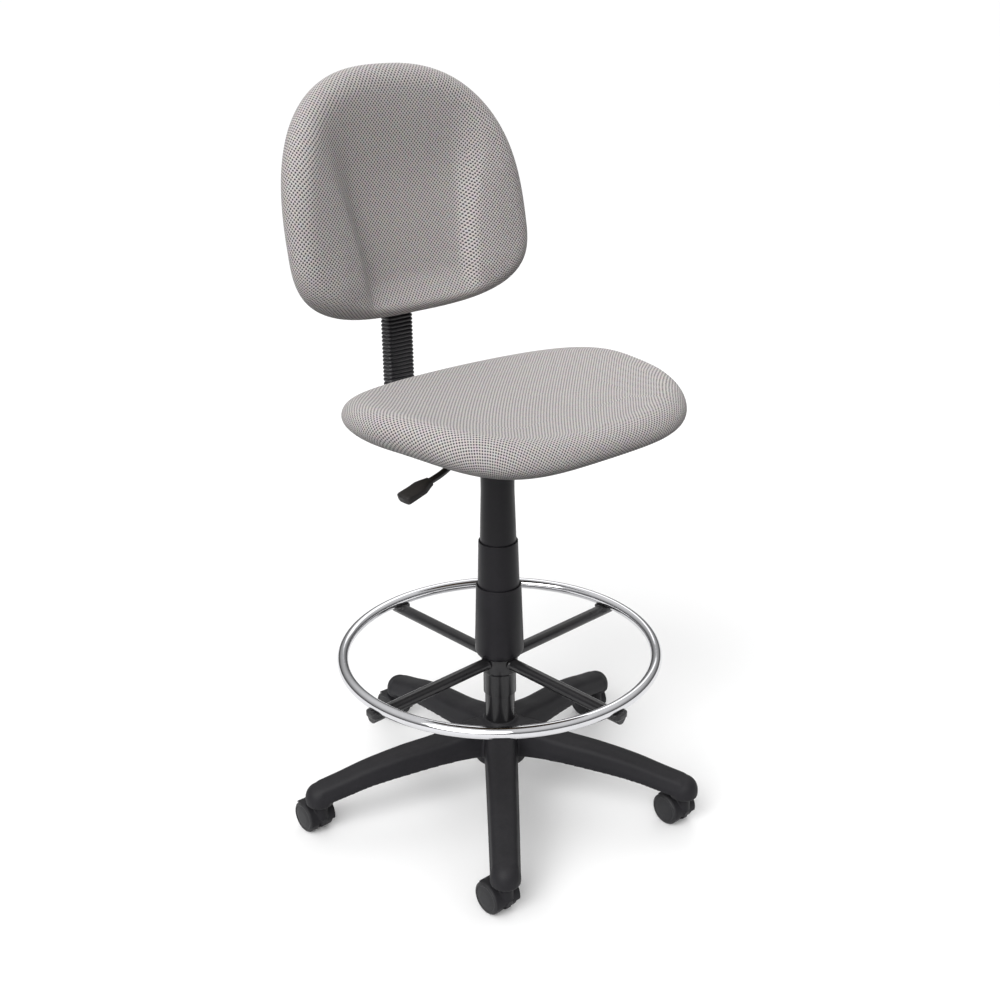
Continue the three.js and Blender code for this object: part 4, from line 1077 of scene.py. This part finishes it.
boot_rubber = boot_rubber_finish()
bar_low, bar_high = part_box("j_bar")
bar_width = bar_high.x - bar_low.x
bar_thickness = 8 * mm
bar_height = bar_low.z + bar_thickness / 2
bar_upright = axis.y + 238 * mm
bar_bend = 45 * mm
slide_axis = next(j for j in frame["joints"] if j["name"] == "back_height")["axis"]
recline = math.atan2(slide_axis[1], slide_axis[2])
lean_start = 0.778
lean_sweep = 60 * mm * math.tan(recline / 2)
lean_way = Vector((0, math.sin(recline), math.cos(recline)))
lean_foot = Vector((axis.x, bar_upright, lean_start))


def bar_line(start_y, lean_length, step):
    """Evenly spaced points along the middle of the bent bar."""
    x = axis.x
    coarse = [Vector((x, start_y, bar_height))]
    for k in range(25):
        a = math.radians(90 * k / 24)
        y = bar_upright - bar_bend + bar_bend * math.sin(a)
        coarse.append(Vector((x, y, bar_height + bar_bend * (1 - math.cos(a)))))
    for k in range(9):
        t = k / 8
        start = lean_foot - Vector((0, 0, lean_sweep))
        end = lean_foot + lean_way * lean_sweep
        coarse.append(start * (1 - t) ** 2 + lean_foot * 2 * t * (1 - t) + end * t * t)
    coarse.append(lean_foot + lean_way * lean_length)
    lengths = np.cumsum([0] + [(b - a).length for a, b in zip(coarse, coarse[1:])])
    count = max(2, round(lengths[-1] / step))
    even = np.linspace(0, lengths[-1], count + 1)
    ys = np.interp(even, lengths, [p.y for p in coarse])
    zs = np.interp(even, lengths, [p.z for p in coarse])
    return [Vector((x, y, z)) for y, z in zip(ys, zs)], even


def section_along(points, ring_at):
    """A solid whose cross-section follows a line in the bar's plane."""
    rings = []
    for i, point in enumerate(points):
        ahead = (points[min(i + 1, len(points) - 1)] - points[max(i - 1, 0)]).normalized()
        out = Vector((0, -ahead.z, ahead.y))
        rings.append([point + Vector((a, 0, 0)) + out * b for a, b in ring_at(i)])
    return skin(rings)


bar_points, _ = bar_line(bar_low.y, 120 * mm, 4 * mm)
bar_section = rounded_outline(bar_width, bar_thickness, 1.4 * mm, 3)
bent_bar = add_piece("bent_bar", mesh_of(section_along(bar_points, lambda i: bar_section)), black_steel)
stand_for(bent_bar, "back_bar", "black_steel", "j_bar")

boot_low, boot_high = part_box("bar_boot")
boot_width = boot_high.x - boot_low.x
boot_depth = 24 * mm
boot_corner = 7 * mm
rib_pitch = 6.2 * mm
rib_depth = 2.3 * mm
boot_points, boot_lengths = bar_line(axis.y + 165 * mm, 36 * mm, rib_pitch / 10)


def boot_ring(i):
    """The boot's outline, drawn in between the ribs."""
    crest = abs(math.cos(math.pi * boot_lengths[i] / rib_pitch)) ** 0.7
    inset = rib_depth * (1 - crest)
    return rounded_outline(boot_width - 2 * inset, boot_depth - 2 * inset, boot_corner - inset * 0.6, 5)


ribbed_boot = add_piece("ribbed_boot", mesh_of(section_along(boot_points, boot_ring)), boot_rubber, 70)
stand_for(ribbed_boot, "back_bar", "boot_rubber", "bar_boot")

depth_knob_low, depth_knob_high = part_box("depth_knob")
depth_knob_middle = (depth_knob_low + depth_knob_high) / 2
depth_knob_tip = Vector((depth_knob_middle.x, depth_knob_middle.y, depth_knob_high.z))
down = Vector((0, 0, -1))
hand_screw("depth_screw", "depth_knob", depth_knob_tip, down, 20 * mm, 18 * mm, "depth_knob")

# ---- Upholstery -------------------------------------------------------------------------------
# Moulded foam under a grey tweed: pale warm-grey yarns woven plain over brown-grey ones, drawn
# tight over the foam and stapled underneath, so the rows of the weave follow the shape.


def tweed_weave_group():
    """Plain-woven yarns, pale over dark, from fabric coordinates in metres."""
    inputs = [
        ("Place", "Vector", None),
        ("Yarn", "Float", 2.9 * mm),
        ("Pale", "Color", (0.52, 0.485, 0.475, 1)),
        ("Dark", "Color", (0.03, 0.026, 0.032, 1)),
        ("Pale Share", "Float", 0.12),
    ]
    outputs = [("Colour", "Color"), ("Roughness", "Float"), ("Height", "Float")]
    tree, given, result = new_group("tweed_weave", inputs, outputs)
    place = given.outputs["Place"]

    def sums(operation, first, second=0.0, third=0.0):
        values = {0: first, 1: second, 2: third}
        return put(tree, "Math", values, operation=operation).outputs[0]

    wander = put(tree, "TexNoise", {"Vector": place, "Scale": 160, "Detail": 3}).outputs["Color"]
    centred = put(tree, "VectorMath", {0: wander, 1: (0.5, 0.5, 0.5)}, operation="SUBTRACT").outputs[0]
    drift = put(tree, "VectorMath", {0: centred, "Scale": 0.9 * mm}, operation="SCALE").outputs[0]
    moved = put(tree, "VectorMath", {0: place, 1: drift}, operation="ADD").outputs[0]
    parts = put(tree, "SeparateXYZ", {"Vector": moved})
    across = sums("DIVIDE", parts.outputs["X"], given.outputs["Yarn"])
    along = sums("DIVIDE", parts.outputs["Y"], given.outputs["Yarn"])
    wave_across = sums("SINE", sums("MULTIPLY", across, math.pi))
    wave_along = sums("SINE", sums("MULTIPLY", along, math.pi))
    weave = sums("MULTIPLY", wave_across, wave_along)
    lifted = sums("ADD", weave, given.outputs["Pale Share"])
    limits = {"Value": lifted, "From Min": -0.45, "From Max": 0.2}
    pale = put(tree, "MapRange", limits, interpolation_type="SMOOTHSTEP").outputs[0]
    fibres = noise(tree, place, 2600, 3, 0.7)
    slubs = put(tree, "TexNoise", {"Vector": place, "Scale": 120, "Detail": 2}).outputs["Color"]
    flecks = blend(tree, 0.14, (0.5, 0.5, 0.5, 1), slubs)
    dyed = blend(tree, pale, given.outputs["Dark"], given.outputs["Pale"])
    tinted = {"Factor": 1.0, "A": dyed, "B": flecks}
    tinted_yarn = put(tree, "Mix", tinted, data_type="RGBA", blend_type="MULTIPLY").outputs["Result"]
    fluff = {"Value": fibres, "From Min": 0.25, "From Max": 0.75, "To Min": 1.7, "To Max": 2.3}
    shade = put(tree, "MapRange", fluff)
    fleecy = {0: tinted_yarn, "Scale": shade.outputs[0]}
    tone = put(tree, "VectorMath", fleecy, operation="SCALE").outputs[0]
    crown = sums("POWER", sums("ABSOLUTE", weave), 0.55)
    fuzz = sums("MULTIPLY_ADD", fibres, 0.25, crown)
    rough = put(tree, "MapRange", {"Value": fibres, "To Min": 0.82, "To Max": 0.98}).outputs[0]
    join(tree, result, Colour=tone, Roughness=rough, Height=fuzz)
    return tree


def tweed_finish():
    """The chair's grey tweed, read from each cushion's own fabric coordinates."""
    fuzz = {"Sheen_Weight": 0.25, "Sheen_Roughness": 0.5}
    made, tree, shader = new_material("tweed", (0.3, 0.28, 0.27), 0.9, **fuzz)
    place = put(tree, "Attribute", attribute_name="fabric").outputs["Vector"]
    weave = use_group(tree, tweed_weave_group(), {"Place": place})
    bump = raised(tree, weave["Height"], 0.7, 0.8 * mm)
    join(tree, shader, Base_Color=weave["Colour"], Roughness=weave["Roughness"], Normal=bump)
    return made


tweed = tweed_finish()


def ball_grid(cells):
    """A closed ball of even quads: its directions as an array, and its faces."""
    cube = bmesh.new()
    bmesh.ops.create_cube(cube, size=2)
    bmesh.ops.subdivide_edges(cube, edges=cube.edges, cuts=cells - 1, use_grid_fill=True)
    places = np.array([v.co for v in cube.verts])
    faces = [[v.index for v in face.verts] for face in cube.faces]
    cube.free()
    swung = np.tan(places * math.pi / 4)
    return swung / np.linalg.norm(swung, axis=1)[:, None], faces


def outline_reach(angle, half_x, half_y, squareness):
    """How far a squared-off ellipse reaches in each direction."""
    x = np.abs(np.cos(angle)) / half_x
    y = np.abs(np.sin(angle)) / half_y
    return (x**squareness + y**squareness) ** (-1 / squareness)


def cushion_form(reach_of, edge, half_thickness, cells):
    """A round-edged pad: plan places, height share from -1 to 1, fabric coordinates and faces.

    reach_of gives the outline's reach at an angle, and edge the share of it that is rounded off."""
    ways, faces = ball_grid(cells)
    tilt = np.arccos(np.clip(ways[:, 2], -1, 1)) / math.pi
    angle = np.arctan2(ways[:, 1], ways[:, 0])
    reach = reach_of(angle)
    flat = (1 - edge) * reach.mean()
    bend = math.pi * math.hypot(edge * reach.mean(), half_thickness) / math.sqrt(2)
    whole = 2 * flat + bend
    front, rear = flat / whole, (flat + bend) / whole
    turn = np.clip((tilt - front) / (rear - front), 0, 1) * math.pi
    share = np.where(tilt < front, (1 - edge) * tilt / front, 1 - edge + edge * np.sin(turn))
    share = np.where(tilt > rear, (1 - edge) * (1 - tilt) / (1 - rear), share)
    height = np.cos(turn)
    plan = np.stack([np.cos(angle), np.sin(angle)], 1) * (share * reach)[:, None]
    small = 1e-3
    slope = (reach_of(angle + small) - reach_of(angle - small)) / (2 * small)
    normal_x = reach * np.cos(angle) + slope * np.sin(angle)
    normal_y = reach * np.sin(angle) - slope * np.cos(angle)
    normal = np.stack([normal_x, normal_y], 1) / np.hypot(normal_x, normal_y)[:, None]
    arc = turn / math.pi * bend + np.where(tilt > rear, (tilt - rear) * whole, 0)
    inner = np.stack([np.cos(angle), np.sin(angle)], 1) * (np.minimum(share, 1 - edge) * reach)[:, None]
    rim = np.stack([np.cos(angle), np.sin(angle)], 1) * ((1 - edge) * reach)[:, None]
    fabric = np.where((tilt > front)[:, None], rim + normal * arc[:, None], inner)
    return plan, height, fabric, faces


def cushion_mesh(name, places, fabric, faces):
    """A mesh with its fabric coordinates kept on its points."""
    made = bpy.data.meshes.new(name)
    made.from_pydata([tuple(p) for p in places], [], faces)
    coordinates = made.attributes.new("fabric", "FLOAT_VECTOR", "POINT")
    flat = np.concatenate([fabric, np.zeros((len(fabric), 1))], 1)
    coordinates.data.foreach_set("vector", flat.astype(np.float32).ravel())
    made.update()
    return made


def blow_up(pad, held, pressure, cap, frames=20):
    """Swells the cover over its foam by cloth simulation. held says how firmly each point is kept."""
    start = np.array([v.co for v in pad.data.vertices])
    group = pad.vertex_groups.new(name="held")
    for i, weight in enumerate(held):
        group.add([i], float(weight), "REPLACE")
    cover = pad.modifiers.new("cover", "CLOTH")
    cover.settings.quality = 6
    cover.settings.mass = 0.35
    cover.settings.tension_stiffness = 30
    cover.settings.compression_stiffness = 30
    cover.settings.shear_stiffness = 12
    cover.settings.bending_stiffness = 2.0
    cover.settings.vertex_group_mass = "held"
    cover.settings.pin_stiffness = 6
    cover.settings.use_pressure = True
    cover.settings.uniform_pressure_force = pressure
    cover.settings.effector_weights.gravity = 0
    cover.point_cache.frame_start = 1
    cover.point_cache.frame_end = frames
    for number in range(1, frames + 1):
        bpy.context.scene.frame_set(number)
    swollen = pad.evaluated_get(bpy.context.evaluated_depsgraph_get()).data
    moved = np.array([v.co for v in swollen.vertices]) - start
    far = np.linalg.norm(moved, axis=1)
    moved *= np.minimum(1, cap / np.maximum(far, 1e-9))[:, None]
    pad.modifiers.clear()
    pad.vertex_groups.clear()
    pad.data.vertices.foreach_set("co", (start + moved).astype(np.float32).ravel())
    pad.data.update()
    bpy.context.scene.frame_set(1)


def refine(pad):
    """One round of subdivision over the finished cover."""
    finer = pad.modifiers.new("finer", "SUBSURF")
    finer.levels = 1
    finer.render_levels = 1
    settle(pad)


# ---- Seat -------------------------------------------------------------------------------------
# A thick moulded foam pad with a rolled front, raised sides and a dished middle, under the tweed.
# It is glued to a birch plywood board, which four screws hold to the mechanism.


def plywood_finish():
    """Birch plywood with a fine straight grain."""
    made, tree, shader = new_material("plywood", (0.5, 0.36, 0.2), 0.7)
    place = put(tree, "TexCoord").outputs["Object"]
    squeezed = put(tree, "Mapping", {"Vector": place, "Scale": (90, 6, 90)}).outputs["Vector"]
    grain = noise(tree, squeezed, 4, 6, 0.6)
    tone = blend(tree, grain, (0.33, 0.21, 0.11, 1), (0.62, 0.45, 0.27, 1))
    rough = put(tree, "MapRange", {"Value": grain, "To Min": 0.6, "To Max": 0.85}).outputs[0]
    bump = raised(tree, grain, 0.15, 0.4 * mm)
    join(tree, shader, Base_Color=tone, Roughness=rough, Normal=bump)
    return made


plywood = plywood_finish()
dress(plywood, "seat_board", "back_board")

seat_half_x = 241 * mm
seat_half_y = 200.5 * mm
seat_forward = 41.7 * mm
seat_crown = 704 * mm
seat_thickness = 53 * mm
seat_front_squareness = 3.9
seat_rear_squareness = 2.2
seat_taper = -0.14
seat_front_drop = 18 * mm
seat_bolster = 18 * mm
seat_rear_fall = 13 * mm
seat_dish = 13 * mm
seat_start_share = 0.995
seat_tuck = 0.06


def seat_reach(angle):
    """The seat's outline: square in front, rounder behind."""
    front = outline_reach(angle, seat_half_x, seat_half_y, seat_front_squareness)
    rear = outline_reach(angle, seat_half_x, seat_half_y, seat_rear_squareness)
    return np.where(np.sin(angle) < 0, front, rear)


def shaped_seat(plan, height):
    """Places on the seat pad from its plan and its height share."""
    tucked = seat_start_share - seat_tuck * np.clip(-height, 0, 1) ** 2
    x, y = plan[:, 0] * tucked, plan[:, 1] * tucked
    forward = np.maximum(0, -y / seat_half_y)
    rearward = np.maximum(0, y / seat_half_y)
    sideways = np.abs(x / seat_half_x)
    centre = np.clip(1 - sideways**2 - (y / seat_half_y) ** 2, 0, 1)
    upper = (height + 1) / 2
    z = seat_crown - seat_thickness * (1 - upper)
    z = z - seat_front_drop * forward**2
    side_roll = seat_bolster * sideways**3 * (1 - 0.35 * forward**2)
    z = z + upper * (side_roll - seat_rear_fall * rearward**2 - seat_dish * centre)
    x = x * (1 - seat_taper * y / seat_half_y)
    return np.stack([axis.x + x, axis.y - seat_forward + y, z], 1)


seat_edge = 2 * 39 * mm / (seat_half_x + seat_half_y)
plan, height, fabric, faces = cushion_form(seat_reach, seat_edge, seat_thickness / 2, 34)
seat_cover = cushion_mesh("seat_pad", shaped_seat(plan, height), fabric, faces)
seat_pad = add_piece("seat_pad", seat_cover, tweed, 180)
seat_held = np.where(height < -0.5, 1.0, np.where(height > 0.9, 0.35, 0.1))
blow_up(seat_pad, seat_held, pressure=4, cap=16 * mm)
refine(seat_pad)
stand_for(seat_pad, "seat", "tweed", "seat_cushion")

# ---- Back -------------------------------------------------------------------------------------
# A moulded pad with two soft wings and a shallow hollow between them, on a plywood board behind
# which a thin plastic shell hides the steel bracket that slides on the back bar.

back_half_x = 217 * mm
back_above = 254 * mm
back_below = 113 * mm
back_front = 31.5 * mm
back_rear = 25 * mm
back_wrap = 28 * mm
back_start_share = 0.99
back_wing = 9 * mm
back_hollow = 17 * mm
back_crease = 97 * mm
back_middle = Vector((axis.x, axis.y + 215 * mm, 880 * mm))
back_stand = Matrix.Translation(back_middle) @ Matrix.Rotation(math.pi / 2 - recline, 4, "X")


def back_reach(angle, inset=0.0):
    """The back's outline: a tall arch above its widest line, a short squarer foot below it."""
    above = outline_reach(angle, back_half_x - inset, back_above - inset, 2.5)
    below = outline_reach(angle, back_half_x - inset, back_below - inset, 3.0)
    return np.where(np.sin(angle) > 0, above, below)


def step_up(value, low, high):
    """A smooth rise from 0 to 1 between two values."""
    t = np.clip((value - low) / (high - low), 0, 1)
    return t * t * (3 - 2 * t)


def shaped_back(plan, height):
    """Places on the back pad, lying flat: x across, y up the back, z out of its front."""
    x, y = plan[:, 0] * back_start_share, plan[:, 1] * back_start_share
    middle = (back_front - back_rear) / 2
    half = (back_front + back_rear) / 2
    z = middle + half * height + back_wrap * (x / back_half_x) ** 2
    front = np.maximum(0, height)
    side = np.abs(x)
    fade = 1 - step_up(y, 60 * mm, 215 * mm)
    foot = step_up(y, -112 * mm, -50 * mm)
    soft = (9 + 24 * step_up(y, 0, 170 * mm)) * mm
    crease_line = back_crease + 26 * mm * step_up(y, -60 * mm, 170 * mm)
    wing = step_up(side, crease_line - soft, crease_line + soft)
    roll = np.exp(-(((side - crease_line - 42 * mm) / (46 * mm)) ** 2))
    z = z + front * fade * foot * (back_wing * roll - back_hollow * (1 - wing))
    return np.stack([x, y, z], 1)


back_edge = 30 * mm / ((2 * back_half_x + back_above + back_below) / 4)
plan, height, fabric, faces = cushion_form(back_reach, back_edge, (back_front + back_rear) / 2, 34)
back_cover = cushion_mesh("back_pad", shaped_back(plan, height), fabric, faces)
back_pad = add_piece("back_pad", back_cover, tweed, 180)
crease_gap = np.abs(np.abs(plan[:, 0]) - back_crease)
near_crease = np.exp(-((crease_gap / (12 * mm)) ** 2)) * (plan[:, 1] < 60 * mm)
back_held = np.where(height < -0.5, 1.0, np.where(height > 0.9, 0.3 + 0.6 * near_crease, 0.1))
blow_up(back_pad, back_held, pressure=4, cap=16 * mm)
refine(back_pad)
back_pad.data.transform(back_stand)
stand_for(back_pad, "back", "tweed", "back_cushion")

shell_inset = 28 * mm
shell_depth = 9 * mm


def shell_reach(angle):
    """The shell's outline, inside the pad's."""
    return back_reach(angle, shell_inset)


plan, height, fabric, faces = cushion_form(shell_reach, 0.08, shell_depth / 2, 30)
dish_z = back_wrap * (plan[:, 0] / back_half_x) ** 2 - shell_depth * (1 - height) / 2
dish_z = dish_z - back_rear - 0.3 * mm
dish = bmesh.new()
dish_part = cushion_mesh("dish", np.concatenate([plan, dish_z[:, None]], 1), fabric, faces)
dish.from_mesh(dish_part)
hump_half = 42 * mm
hump_low = -98 * mm
hump_high = 80 * mm
hump_rear = -back_rear - 42 * mm
hump_outline = rounded_outline(2 * hump_half, hump_high - hump_low, 20 * mm, 8)
hump_levels = [(hump_rear, 5 * mm), (hump_rear + 1.5 * mm, 1.5 * mm)]
hump_levels += [(hump_rear + 5 * mm, 0), (-back_rear - 4 * mm, 0)]
hump = shifted(slab(hump_outline, hump_levels), (0, (hump_low + hump_high) / 2, 0))
rear_shell = fused("rear_shell", mesh_of(dish, hump), 1.7 * mm, 6, cover_plastic)
hump_wall = 3 * mm
room_length = 160 * mm
room_outline = rounded_outline(2 * (hump_half - hump_wall), room_length, 8 * mm)
boot_room = slab(room_outline, [(hump_rear + hump_wall, 0), (-back_rear - 5 * mm, 0)])
shifted(boot_room, (0, hump_low - 4 * mm + room_length / 2, 0))
height_low, height_high = [back_stand.inverted() @ Vector(corner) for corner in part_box("height_knob")]
knob_level = (height_low.y + height_high.y) / 2
knob_hole = round_bar(5 * mm, hump_rear - 5 * mm, hump_rear + 9 * mm)
shifted(knob_hole, (0, knob_level, 0))
carve(rear_shell, mesh_of(boot_room, knob_hole))
rear_shell.data.transform(back_stand)
stand_for(rear_shell, "back", "cover_plastic", "back_shell")
dress(black_steel, "back_bracket")

knob_way = back_stand.to_3x3() @ Vector((0, 0, -1))
bar_middle_depth = (back_stand.inverted() @ lean_foot).z
height_tip = back_stand @ Vector((0, knob_level, bar_middle_depth - bar_thickness / 2 - 0.4 * mm))
hand_screw("height_screw", "height_knob", height_tip, knob_way, 20 * mm, 18 * mm, "height_knob")
